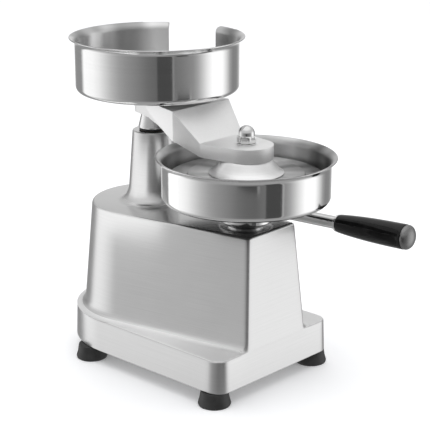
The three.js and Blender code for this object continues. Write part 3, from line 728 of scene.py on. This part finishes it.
def body_loops():
    """Loops up the outside of the casting, over the deck and the post, and back down inside."""
    fillet = 10.0
    edge = 3.0
    side_top = PLINTH_TOP - 8
    side_draft = PLINTH_DRAFT * 0.7
    base = [(WALL, FOOT_TOP, 0), (0, FOOT_TOP, 1.0), (side_draft, side_top, 0)]
    loops = [plinth_loop(inset, z) for inset, z in rounded(base)]
    rim = [(0, side_top, 0), (PLINTH_DRAFT * 0.3, PLINTH_TOP, 3.0), (4.5, PLINTH_TOP, 0)]
    for inset, z in rounded(rim)[1:]:
        loops.append(plinth_loop(inset, z, EDGE_SHARES, draft=side_draft))
    for angle in quarter_turn(6):
        outset = fillet * (1 - math.sin(angle))
        loops.append(housing_loop(-outset, PLINTH_TOP + fillet * (1 - math.cos(angle)), EDGE_SHARES))
    wall_low = PLINTH_TOP + fillet
    wall_high = DECK_TOP - edge
    loops += [housing_loop(0, wall_low + (wall_high - wall_low) * k / 14) for k in range(1, 14)]
    for angle in quarter_turn(5):
        loops.append(housing_loop(edge * (1 - math.cos(angle)), wall_high + edge * math.sin(angle)))
    cone_start = (28.9, 198)
    flare = bezier((43.5, DECK_TOP), (36.5, DECK_TOP), (31.2, 186), cone_start, 12)
    top = rounded([(*cone_start, 0), (POST_RADIUS, POST_TOP, 1.6), (POST_BORE, POST_TOP, 0.8),
                   (POST_BORE, DECK_TOP - 20, 0)])
    straight = [top[0].lerp(top[1], k / 6) for k in range(1, 6)]
    loops += [post_loop(radius, z) for radius, z in [*flare, *straight, *top[1:-1]]]
    underside = DECK_TOP - DECK_THICKNESS
    ledge = PLINTH_TOP - WALL - 1
    loops += [post_loop(POST_BORE, underside), housing_loop(WALL, underside), housing_loop(WALL, ledge)]
    loops.append(plinth_loop(WALL + 0.5, ledge))
    loops.append(plinth_loop(WALL + 0.5, FOOT_TOP))
    return loops


def make_body():
    body = drawn("housing", loft(body_loops(), ring=True))
    inner_end, flange = ends_along_x("shaft_bush_right")
    boss_face = flange - 2
    boss = rounded([(0, inner_end, 0), (19.5, inner_end, 0), (17, boss_face - 3, 6),
                    (17, boss_face, 1.2), (0, boss_face, 0)])
    join(body, along_x(turned(boss, segments=64)))
    bush = size("shaft_bush_left").y / 2 + GAP
    bush_bore = pin(bush, inner_end - 9, boss_face + 5)
    spigot_hole = pin(20.6, DECK_TOP - 12, DECK_TOP + 9)
    cut(body, along_x(turned(bush_bore, segments=64)), turned(spigot_hole, MOULD, 64))
    dress(body, CASTING, "body_casting")


def make_bottom_cover():
    low, high = heights("bottom_cover")
    inset = WALL + 1.2
    loops = [plinth_loop(inset + 0.4, low), plinth_loop(inset, low + 0.4), plinth_loop(inset, high)]
    dress(drawn("base_cover", loft(loops)), MACHINED, "bottom_cover")


def make_foot(place):
    node = f"foot_{place}"
    centre = middle(node).xy
    low, high = heights(node)
    base = radius_of(node)
    recess = low + 9
    section = rounded([(6.5, low, 0.6), (base - 0.9, low, 0.9), (base, low + 2.4, 1.6),
                       (base - 1.9, high - 8, 14), (base - 3.1, high, 1.0), (3.6, high, 0),
                       (3.6, recess, 0), (6.5, recess, 0)], closed=True)
    turned_part(f"rubber_{node}", node, section, RUBBER, centre, 96)
    screw = f"foot_screw_{place}"
    bottom, tip = heights(screw)
    head = corners(screw)[1].x - centre.x
    top = recess - GAP
    shape = rounded([(0, bottom, 0), (head - 0.8, bottom, 0), (head, bottom + 1.4, 0.8), (head, top, 0),
                     (3, top, 0), (3, tip - 1, 0), (2.2, tip, 0), (0, tip, 0)])
    piece = drawn(f"socket_{screw}", turned(shape, centre, 48))
    cut(piece, hexagon_prism(centre, 5.0, bottom - 1, bottom + 2.2))
    dress(piece, DARK, screw)


def hexagon_prism(centre, across_flats, low, high, turn=0.0):
    return prism(circle(centre, across_flats / math.sqrt(3), 6, turn), low, high)


# ---------------------------------------------------------------- bowls and mould

def bowl_section(base, rim):
    """Section of a spun bowl from the middle of its floor, up its wall and over its flared lip."""
    flare_start = rim - 8
    skin = rounded([(0, base, 0), (WALL_RADIUS, base, 7), (WALL_RADIUS, flare_start, 0)], steps=10)
    lip = rim - 0.4
    skin += bezier((WALL_RADIUS, flare_start), (WALL_RADIUS, rim - 4), (RIM_RADIUS - 3.6, lip - 1.1),
                   (RIM_RADIUS - 0.6, lip - 0.4), 12)[1:]
    return thick(skin, SHEET)


def finish_and_shade_inside(bowl, centre, material):
    """Gives the faces of a bowl that look inwards or upwards a satin finish of their own, whose darker base
    colour is painted shade and whose bands are painted sheen.
    """
    bowl.data.materials.append(material)
    for polygon in bowl.data.polygons:
        outwards = (Vector(polygon.center[:2]) - Vector(centre) * MM).normalized()
        facing = Vector(polygon.normal[:2]).dot(outwards)
        if polygon.normal.z > 0.2 or facing < -0.2:
            polygon.material_index = 1


def make_bowl():
    section = bowl_section(BOWL_BASE, BOWL_RIM)
    bowl = dress(drawn("mould_bowl", turned(section, MOULD, 192)), BOWL_STEEL, "lower_bowl")
    finish_and_shade_inside(bowl, MOULD, BOWL_INSIDE)


NOTCH_DIRECTION = math.radians(17)
NOTCH_WIDTH = 63
OUTWARDS = Matrix(((0, 0, 1, 0), (1, 0, 0, 0), (0, 1, 0, 0), (0, 0, 0, 1)))  # turns +Z to +X


def make_tray():
    tray = drawn("paper_bowl", turned(bowl_section(TRAY_BASE, TRAY_RIM), TRAY, 192))
    half = NOTCH_WIDTH / 2
    over = TRAY_RIM + 0.2
    right = [(half, TRAY_BASE + 9, 6), (half, over, 4.5), (half + 30, over, 0), (half + 30, over + 9, 0)]
    left = [(-x, z, radius) for x, z, radius in reversed(right)]
    outline = rounded(left + right, steps=8)
    where = Matrix.Translation((*TRAY, 0)) @ Matrix.Rotation(NOTCH_DIRECTION, 4, "Z") @ OUTWARDS
    cut(tray, placed(prism(outline, 60, 110), where))
    dress(tray, TRAY_STEEL, "paper_tray")
    finish_and_shade_inside(tray, TRAY, TRAY_INSIDE)


def make_mould():
    floor, top = heights("mould_ring")
    cavity = 65
    cup = 70
    bore = 9
    table = radius_of("mould_ring")
    section = rounded([(bore, floor, 0), (cup, floor, 1.5), (cup, top - 3, 0), (table, top - 3, 0.8),
                       (table, top, 0.8), (cavity, top, 1.2), (cavity, floor + 2, 1), (bore, floor + 2, 0)],
                      closed=True)
    turned_part("mould_pan", "mould_ring", section, BOWL_INSIDE, MOULD, 160)
    low, high = heights("ejector_plate")
    radius = radius_of("ejector_plate")
    section = rounded([(0, low, 0), (radius, low, 0.4), (radius, high, 0.6), (6.8, high, 0),
                       (4, high - 3, 0), (0, high - 3, 0)])
    turned_part("patty_lifter", "ejector_plate", section, BOWL_INSIDE, MOULD)
    low, high = heights("ejector_screw")
    section = [(0, low), (3, low), (3, high - 3), (6, high), (0, high)]
    screw = drawn("lifter_screw", turned(section, MOULD, 48))
    cut(screw, hexagon_prism(MOULD, 4.0, high - 1.8, high + 1))
    dress(screw, MACHINED, "ejector_screw")


def make_bowl_support():
    radius = radius_of("bowl_support")
    bore = 10.3
    neck = 21.5
    seat = DECK_TOP + GAP
    flange = seat + 3.8
    section = rounded([(bore, SUPPORT_LOW, 0), (20, SUPPORT_LOW, 0.8), (20, seat, 0), (neck, seat, 0.3),
                       (neck, flange, 0.5), (radius, flange, 1.4), (radius, SUPPORT_TOP, 0.5),
                       (bore, SUPPORT_TOP, 0)], closed=True)
    turned_part("polished_support", "bowl_support", section, BRIGHT_STEEL, MOULD)


# ---------------------------------------------------------------- post fittings and spindle

def make_post_fittings():
    low, high = heights("post_wiper_ring")
    radius = radius_of("post_wiper_ring")
    inner = 11.6
    section = rounded([(inner, low, 0.4), (radius, low, 0.4), (radius, high, 0.7), (inner + 1, high, 0.4)],
                      closed=True)
    turned_part("wiper_seal", "post_wiper_ring", section, RUBBER, POST, 96)
    base = radius_of("spindle_collar")
    bore = 11.3
    section = rounded([(bore, COLLAR_LOW, 0.3), (base, COLLAR_LOW, 0.5), (base, COLLAR_LOW + 1.3, 0.5),
                       (12.6, COLLAR_TOP, 0), (bore, COLLAR_TOP, 0)], closed=True)
    turned_part("cone_collar", "spindle_collar", section, COLLAR_STEEL, POST)


def make_spindle():
    low, high = heights("spindle")
    shoulder = heights("crosshead")[1] + GAP
    thread, seat, shaft, bore = 8, 9, 11, 5.3
    nut_end = low + 12.4
    bore_floor = high - 25
    section = rounded([(0, low, 0), (thread, low, 0.8), (thread, nut_end, 0), (seat, nut_end, 0),
                       (seat, shoulder, 0), (shaft, shoulder, 0.5), (shaft, COLLAR_TOP, 0),
                       (seat, COLLAR_TOP, 0), (seat, high, 0.5), (bore, high, 0), (bore, bore_floor, 0),
                       (0, bore_floor, 0)])
    turned_part("lift_spindle", "spindle", section, MACHINED, POST, 96)


# ---------------------------------------------------------------- press arm and head

ARM_BENDS = [Vector((34.9, 36.8)), Vector((45.8, 68))]  # lower and upper, about the mould axis
NOSE = Vector((0, -2.2))
NOSE_RADIUS = 28.3
HEEL_RADIUS = 20.7
STUD_BORE = 6.3


def arm_plan():
    """Plan of the arm from above: round nose, two bends on each side and a round heel."""
    lower, upper = ARM_BENDS
    post = POST - MOULD
    heel = tangent_normal(upper, 0, post, HEEL_RADIUS)
    to_bend = lower - NOSE
    nose = math.atan2(to_bend.y, to_bend.x) - math.acos(NOSE_RADIUS / to_bend.length)
    right = [*arc(NOSE, NOSE_RADIUS, -math.pi / 2, nose, 24)]
    bends = [(*right[-1], 0), (*lower, 5), (*upper, 3), (*on_circle(post, HEEL_RADIUS, heel), 0)]
    right += rounded(bends, steps=4)[1:]
    right += arc(post, HEEL_RADIUS, heel, math.pi / 2, 18)[1:]
    left = [Vector((-point.x, point.y)) for point in reversed(right[1:-1])]
    return [point + MOULD for point in right + left]


def arm_side():
    """Side view of the arm as (y, z): flat nose, slope up to the flat rear, arched underside."""
    lower, upper = (bend.y + MOULD.y for bend in ARM_BENDS)
    front = MOULD.y - 60
    back = POST.y + 60
    underside = [(front, ARM_NOSE_UNDERSIDE, 0), (MOULD.y + 36, ARM_NOSE_UNDERSIDE, 14),
                 (MOULD.y + 64, 270.4, 30), (MOULD.y + 98, 282.2, 60),
                 (MOULD.y + 124, ARM_REAR_UNDERSIDE, 14), (back, ARM_REAR_UNDERSIDE, 0)]
    top = [(back, ARM_TOP, 0), (upper, ARM_TOP, 1.5), (lower, ARM_NOSE_TOP, 4)]
    return rounded([(front, ARM_NOSE_TOP, 0), *underside, *top], closed=True, steps=6)


def make_press_arm():
    across = Matrix.Translation((MOULD.x, 0, 0)) @ OUTWARDS
    arm = drawn("swing_arm", prism(arm_plan(), ARM_NOSE_UNDERSIDE - 9, ARM_TOP + 9))
    combine(arm, "INTERSECT", [placed(prism(arm_side(), -70, 70), across)])
    bevel(arm, 1.3)
    pad = rounded([(0, ARM_TOP - 2, 0), (24, ARM_TOP - 2, 0), (24, PAD_TOP, 0.8), (0, PAD_TOP, 0)])
    join(arm, turned(pad, POST, 96))
    counterbore = heights("arm_washer")[0] - GAP
    spindle = pin(9.3, ARM_REAR_UNDERSIDE - 9, counterbore)
    washer = pin(12.5, counterbore, PAD_TOP + 2)
    stud = pin(STUD_BORE, ARM_NOSE_UNDERSIDE - 5, ARM_NOSE_TOP + 5)
    cut(arm, turned(spindle[:-1] + washer[1:], POST, 64), turned(stud, MOULD, 64))
    dress(arm, SATIN, "press_arm")


def make_press_head():
    base = radius_of("press_hub")
    flank = bezier((base, HUB_BASE + 0.7), (base - 5.5, HUB_BASE + 3), (33.5, HUB_BASE + 8),
                   (28.8, HUB_TOP - 0.4), 12)
    section = [(0, HUB_BASE), (base - 0.4, HUB_BASE), (base, HUB_BASE + 0.4), *flank, (28.4, HUB_TOP),
               (0, HUB_TOP)]
    turned_part("flared_hub", "press_hub", section, HUB_SATIN, MOULD, 160)
    section = bar(radius_of("press_plate"), *heights("press_plate"), 0.7)
    turned_part("round_press_plate", "press_plate", section, BOWL_INSIDE, MOULD, 160)
    section = sleeve(STUD_BORE, radius_of("press_washer"), *heights("press_washer"), 0.3, 0.4)
    turned_part("flat_washer", "press_washer", section, BRIGHT_STEEL, MOULD, 96)
    make_dome_nut()


def hexagon_reach(angle, across_flats):
    """Distance from a hexagon's middle to its side in a direction."""
    sixth = math.pi / 3
    return across_flats / 2 / math.cos(angle % sixth - sixth / 2)


def make_dome_nut():
    low, high = heights("dome_nut")
    flats = size("dome_nut").y
    hex_top = low + 8
    dome = 9.2
    count = 144

    def level(limit, z):
        loop = []
        for k in range(count):
            angle = TURN * k / count
            loop.append((*on_circle(MOULD, min(hexagon_reach(angle, flats), limit), angle), z))
        return loop

    corner = flats / math.sqrt(3)
    half = flats / 2
    loops = [level(limit, z) for limit, z in (
        (6.2, low), (half - 0.1, low), (half + 0.5, low + 0.3), (corner - 0.2, low + 0.9),
        (corner - 0.2, hex_top - 1.3), (half + 0.6, hex_top - 0.4), (half - 0.1, hex_top),
        (dome + 0.1, hex_top + 0.1), (dome, hex_top + 0.4))]
    centre = high - dome
    for angle in quarter_turn(12):
        loops.append(level(max(dome * math.cos(angle), 0.05), centre + dome * math.sin(angle)))
    dress(drawn("chrome_cap_nut", loft(loops)), CHROME, "dome_nut", sharp=24)


def make_tray_screws():
    for k in (1, 2, 3):
        node = f"tray_screw_{k}"
        centre = middle(node).xy
        tip, top = heights(node)
        head = corners(node)[1].x - centre.x
        seat = top - 2
        section = rounded([(0, tip, 0), (2, tip, 0), (2, seat, 0), (head, seat, 0), (head, seat + 0.7, 0.3),
                           (head * 0.6, top, 1.6), (0, top, 0)])
        piece = drawn(f"button_{node}", turned(section, centre, 48))
        cut(piece, hexagon_prism(centre, 2.5, top - 1.2, top + 1, turn=0.4 * k))
        dress(piece, MACHINED, node)


# ---------------------------------------------------------------- lever

LEVER_END = middle("grip_end_cap")
LEVER_START = Vector((LEVER_X, SHAFT.x, SHAFT.y))
LEVER_DIRECTION = (LEVER_END - LEVER_START).normalized()
ROD_BORE = 7.8
SHAFT_BORE = 9.0


def along_lever(shape):
    """Lays a shape drawn about +Z from the shaft's axis along the lever."""
    turn = Vector((0, 0, 1)).rotation_difference(LEVER_DIRECTION).to_matrix().to_4x4()
    return placed(shape, Matrix.Translation(LEVER_START) @ turn)


def lever_part(name, node, section, material):
    dress(drawn(name, along_lever(turned(section, segments=96))), material, node)


def make_lever_hub():
    low, high = ends_along_x("lever_hub")
    socket_radius, socket_end = 11.5, 34
    hub = drawn("lever_boss", along_x(turned(bar(17, low, high, 1.2), segments=96)))
    socket = rounded([(0, 2, 0), (socket_radius, 2, 0), (socket_radius, socket_end, 1.2), (0, socket_end, 0)])
    join(hub, along_lever(turned(socket, segments=96)))
    soften(hub, 0.7, 6)
    bore = pin(SHAFT_BORE, low - 5, high + 5)
    rod_bore = pin(ROD_BORE, 8, 40)
    screw = middle("hub_set_screw")
    screw_hole = pin(4, screw.z - 4, screw.z + 9)
    cut(hub, along_x(turned(bore, segments=64)), along_lever(turned(rod_bore, segments=64)),
        turned(screw_hole, screw.xy, 48))
    dress(hub, SATIN, "lever_hub")
    bottom, top = heights("hub_set_screw")
    section = [(0, bottom), (3.6, bottom), (3.6, top - 0.5), (3.1, top), (0, top)]
    grub = drawn("grub_screw", turned(section, screw.xy, 48))
    cut(grub, hexagon_prism(screw.xy, 4.0, top - 3, top + 1))
    dress(grub, DARK, "hub_set_screw")


def make_rod():
    lever_part("lever_rod", "handle_rod", bar(7.5, 10.5, 300, 0.5), ROD_STEEL)


def make_grip():
    start, end = 220.2, 313.3
    ferrule = rounded([(ROD_BORE, start - 3, 0.3), (10.2, start - 3, 0.8), (10.2, start - GAP, 0.3),
                       (ROD_BORE, start - GAP, 0)], closed=True)
    lever_part("bright_ferrule", "grip_ferrule", ferrule, BRIGHT_STEEL)
    swell = bezier((10.8, start + 2.2), (13.2, start + 26), (14.4, start + 50), (14.4, end - 5), 20)
    outer = [(ROD_BORE, start), (9.4, start), (10.5, start + 0.7), *swell, (14.3, end - 1), (13.9, end),
             (ROD_BORE, end)]
    lever_part("moulded_grip", "grip", outer, GRIP)
    crown = bezier((14, end + 2.2), (13.4, end + 5.5), (8, end + 8.6), (0, end + 9), 12)
    cap = [(0, end + GAP), (13.5, end + GAP), (14, end + 0.9), *crown]
    lever_part("domed_end_cap", "grip_end_cap", cap, CAP_SATIN)


def make_shaft_parts():
    left, right = ends_along_x("cross_shaft")
    part_along_x("drive_shaft", MACHINED, bar(8.7, left, right, 0.8), "cross_shaft", "crank_key")
    outer = 12
    spacer = sleeve(SHAFT_BORE, outer, *ends_along_x("shaft_spacer"), 0.6, 0.6)
    part_along_x("spacer_sleeve", MACHINED, spacer, "shaft_spacer")
    left, right = ends_along_x("shaft_bush_right")
    flange = 14.5
    bush = rounded([(SHAFT_BORE, left, 0), (outer, left, 0.4), (outer, right - 2, 0), (flange, right - 2, 0),
                    (flange, right, 0.5), (SHAFT_BORE, right, 0)], closed=True)
    part_along_x("flanged_bush", BRONZE, bush, "shaft_bush_right")


def make_spring():
    """A coil spring round the ejector rod, drawn at one length with a mesh of its own."""
    low, high = heights("ejector_spring")
    wire = 1.1
    coil = 9.3
    turns = 7
    steps = turns * 28
    around = [TURN * k / 10 for k in range(10)]
    loops = []
    for k in range(steps + 1):
        angle = TURN * turns * k / steps
        out = Vector((math.cos(angle), math.sin(angle), 0))
        rise = low + wire + (high - low - 2 * wire) * k / steps
        centre = Vector((*MOULD, rise)) + out * coil
        loops.append([centre + wire * (math.cos(a) * out + Vector((0, 0, math.sin(a)))) for a in around])
    spring = dress(drawn("return_spring", loft(loops)), MACHINED, "ejector_spring")
    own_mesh(spring)


def dress_kept_nodes():
    """CAD nodes that stay as they are, mostly inside the casting, take their slot's material."""
    for node, piece in frame["nodes"].items():
        if not piece.hide_render:
            piece.data.materials.clear()
            piece.data.materials.append(NODE_LOOKS[SLOT_OF[node]])


# ---------------------------------------------------------------- studio

FOCAL_LENGTH = 116.305
CAMERA_PLACE = Vector((-1.099438, -0.9761385, 0.639329))  # in metres from the mould's axis at the floor
CAMERA_DIRECTION = Vector((0.70029777, 0.65152859, -0.29170794))


def make_camera():
    data = bpy.data.cameras.new("camera")
    data.sensor_width = 36
    data.lens = FOCAL_LENGTH
    data.clip_end = 30
    camera = new_object("camera", data)
    camera.location = Vector((*MOULD, 0)) * MM + CAMERA_PLACE
    camera.rotation_euler = CAMERA_DIRECTION.to_track_quat("-Z", "Y").to_euler()
    bpy.context.scene.camera = camera


# Brightness of the studio's walls by azimuth in degrees, as reflections see them.
WALL_TONES = [
    (-180, 0.35), (-160, 0.25), (-149, 0.19), (-138, 0.16), (-125, 0.15), (-114, 0.19), (-100, 0.24),
    (-84, 0.32), (-77, 0.45), (-70, 0.68), (-62, 0.98), (-52, 1.3), (-32, 1.3), (-22, 0.85),
    (-13, 0.42), (-4, 0.27), (10, 0.28), (22, 0.45), (32, 0.85), (48, 0.9), (58, 0.5), (68, 0.3),
    (93, 0.32), (101, 1.25), (124, 1.2), (136, 1.05), (147, 0.82), (158, 0.6), (170, 0.43)]
SKY_TONES = (0.68, 1.12)
GROUND_TONE = 0.4
PLAIN_STRENGTH = 0.93  # of the white that everything but a reflection sees


def make_world():
    """A pale studio: grey and white walls round the object, plain grey above and below."""
    world = bpy.data.worlds.new("studio")
    bpy.context.scene.world = world
    world.use_nodes = True
    nodes = Nodes(world.node_tree)
    nodes.tree.nodes.clear()
    direction = nodes.node("ShaderNodeTexCoord").outputs["Generated"]
    parts = nodes.node("ShaderNodeSeparateXYZ", Vector=direction).outputs
    azimuth = nodes.maths("ARCTAN2", parts["Y"], parts["X"])
    walls = nodes.node("ShaderNodeValToRGB", Fac=nodes.ranged(azimuth, -math.pi, math.pi))
    elements = walls.color_ramp.elements
    elements[0].color = elements[1].color = (*grey(WALL_TONES[0][1]), 1)
    for degrees, tone in WALL_TONES[1:]:
        elements.new((degrees + 180) / 360).color = (*grey(tone), 1)
    sky = nodes.mixed(nodes.ranged(parts["Z"], 0.6, 0.9), (*grey(SKY_TONES[0]), 1), (*grey(SKY_TONES[1]), 1))
    above = nodes.mixed(nodes.ranged(parts["Z"], 0.06, 0.36), walls.outputs["Color"], sky)
    around = nodes.mixed(nodes.ranged(parts["Z"], -0.4, -0.8), above, (*grey(GROUND_TONE), 1))
    reflected = nodes.node("ShaderNodeBackground", Color=around)
    plain = nodes.node("ShaderNodeBackground", Color=(1, 1, 1, 1), Strength=PLAIN_STRENGTH)
    seen = nodes.node("ShaderNodeMixShader")
    nodes.feed(seen.inputs[0], nodes.node("ShaderNodeLightPath").outputs["Is Glossy Ray"])
    nodes.feed(seen.inputs[1], plain.outputs[0])
    nodes.feed(seen.inputs[2], reflected.outputs[0])
    nodes.node("ShaderNodeOutputWorld", Surface=seen.outputs[0])


VIEW_AZIMUTH = math.radians(43)  # direction in which the camera looks
STRIP_DISTANCE = 400
STRIP_TONE = 0.075


def mirrored_place(centre, radius, azimuth, distance):
    """Where the camera looks, off an upright cylinder, in a reflected direction at a distance."""
    direction = math.radians(azimuth)
    normal = (direction + VIEW_AZIMUTH - math.pi) / 2
    if direction > 0:
        normal += math.pi
    return on_circle(on_circle(centre, radius, normal), distance, direction)


def reflected_panel(name, shape, tone):
    """A glowing panel, dark or bright, that only shows in reflections."""
    panel = drawn(name, shape)
    material = bpy.data.materials.new(name)
    material.use_nodes = True
    nodes = Nodes(material.node_tree)
    nodes.tree.nodes.clear()
    glow = nodes.node("ShaderNodeEmission", Color=(*grey(tone), 1))
    nodes.node("ShaderNodeOutputMaterial", Surface=glow.outputs[0])
    panel.data.materials.append(material)
    panel.visible_camera = False
    panel.visible_diffuse = False
    panel.visible_shadow = False
    panel.visible_transmission = False


def upright(path, low, high):
    """A sheet that stands along a path, without the two caps and the last side of a loft."""
    vertices, faces = prism(path, low, high)
    return vertices, faces[:-3]


def flat_ring(centre, inner, outer, z):
    vertices, faces = loft([lifted(circle(centre, radius, 64), z) for radius in (inner, outer)])
    return vertices, faces[:-2]


def make_panels():
    """What the polished parts reflect besides the walls: dark strips with a light edge beside the
    bowls, shade below them and round the gap under the lower bowl, and a bright panel by the post.
    """
    for name, centre, (start, end), (low, high), edge_tone in (
            ("bowl_strip", MOULD, (-112, -89), (-80, 170), 0.5),
            ("tray_strip", TRAY, (-135, -114), (142, 300), 0.3)):
        a, b, c = (mirrored_place(centre, WALL_RADIUS, azimuth, STRIP_DISTANCE)
                   for azimuth in (start, end, end + 2.5))
        reflected_panel(name, upright([a, b], low, high), STRIP_TONE)
        reflected_panel(f"{name}_edge", upright([b, c], low, high), edge_tone)
    ends = [mirrored_place(POST, 25, azimuth, 120) for azimuth in (125, -165)]
    reflected_panel("post_panel", upright(ends, 150, 235), 1.3)
    reflected_panel("bowl_shade", flat_ring(MOULD, 26, WALL_RADIUS - 4, BOWL_BASE - 0.5), 0.02)
    for name, radius, start, end, tone in (
            ("rear_shade", 58, 26, 66, 0.015),
            ("front_shade", 86, 196, 250, 0.03),
            ("front_shade_left", 86, 170, 196, 0.09),
            ("front_shade_right", 86, 250, 276, 0.09)):
        curve = arc(MOULD, radius, math.radians(start), math.radians(end), 24)
        reflected_panel(name, upright(curve, DECK_TOP + 1, BOWL_BASE - 0.5), tone)
    reflected_panel("tray_shade", flat_ring(TRAY, 26, 62, TRAY_BASE - 0.5), 0.04)


def make_floor():
    half = 6000
    floor = drawn("floor", ([(-half, -half, 0), (half, -half, 0), (half, half, 0), (-half, half, 0)],
                            [(0, 1, 2, 3)]))
    look = Look("floor", 0.0, 0.7, (0.93, 0.935, 0.95))
    look.tinted(look.noise(30.0), (0.925, 0.93, 0.945), (0.935, 0.94, 0.955))
    look.surface(Specular_IOR_Level=0.1, Emission_Color=(1, 1, 1, 1), Emission_Strength=0.14)
    floor.data.materials.append(look.material)
    floor.visible_glossy = False


def make_light():
    """A square soft box above the object, which doesn't show in reflections."""
    data = bpy.data.lights.new("top_box", "AREA")
    data.size = 2.2
    data.energy = 14
    light = new_object("top_box", data)
    light.location = (cad_low + cad_high) / 2 + Vector((0, 0, 1.6))
    light.visible_glossy = False


make_body()
make_bottom_cover()
for place in ("front_left", "front_right", "rear_left", "rear_right"):
    make_foot(place)
make_post_fittings()
make_spindle()
make_bowl()
make_bowl_support()
make_mould()
make_press_arm()
make_press_head()
make_tray()
make_tray_screws()
make_lever_hub()
make_rod()
make_grip()
make_shaft_parts()
make_spring()
dress_kept_nodes()

make_camera()
make_world()
make_panels()
make_floor()
make_light()
bpy.context.scene.view_settings.view_transform = "Standard"
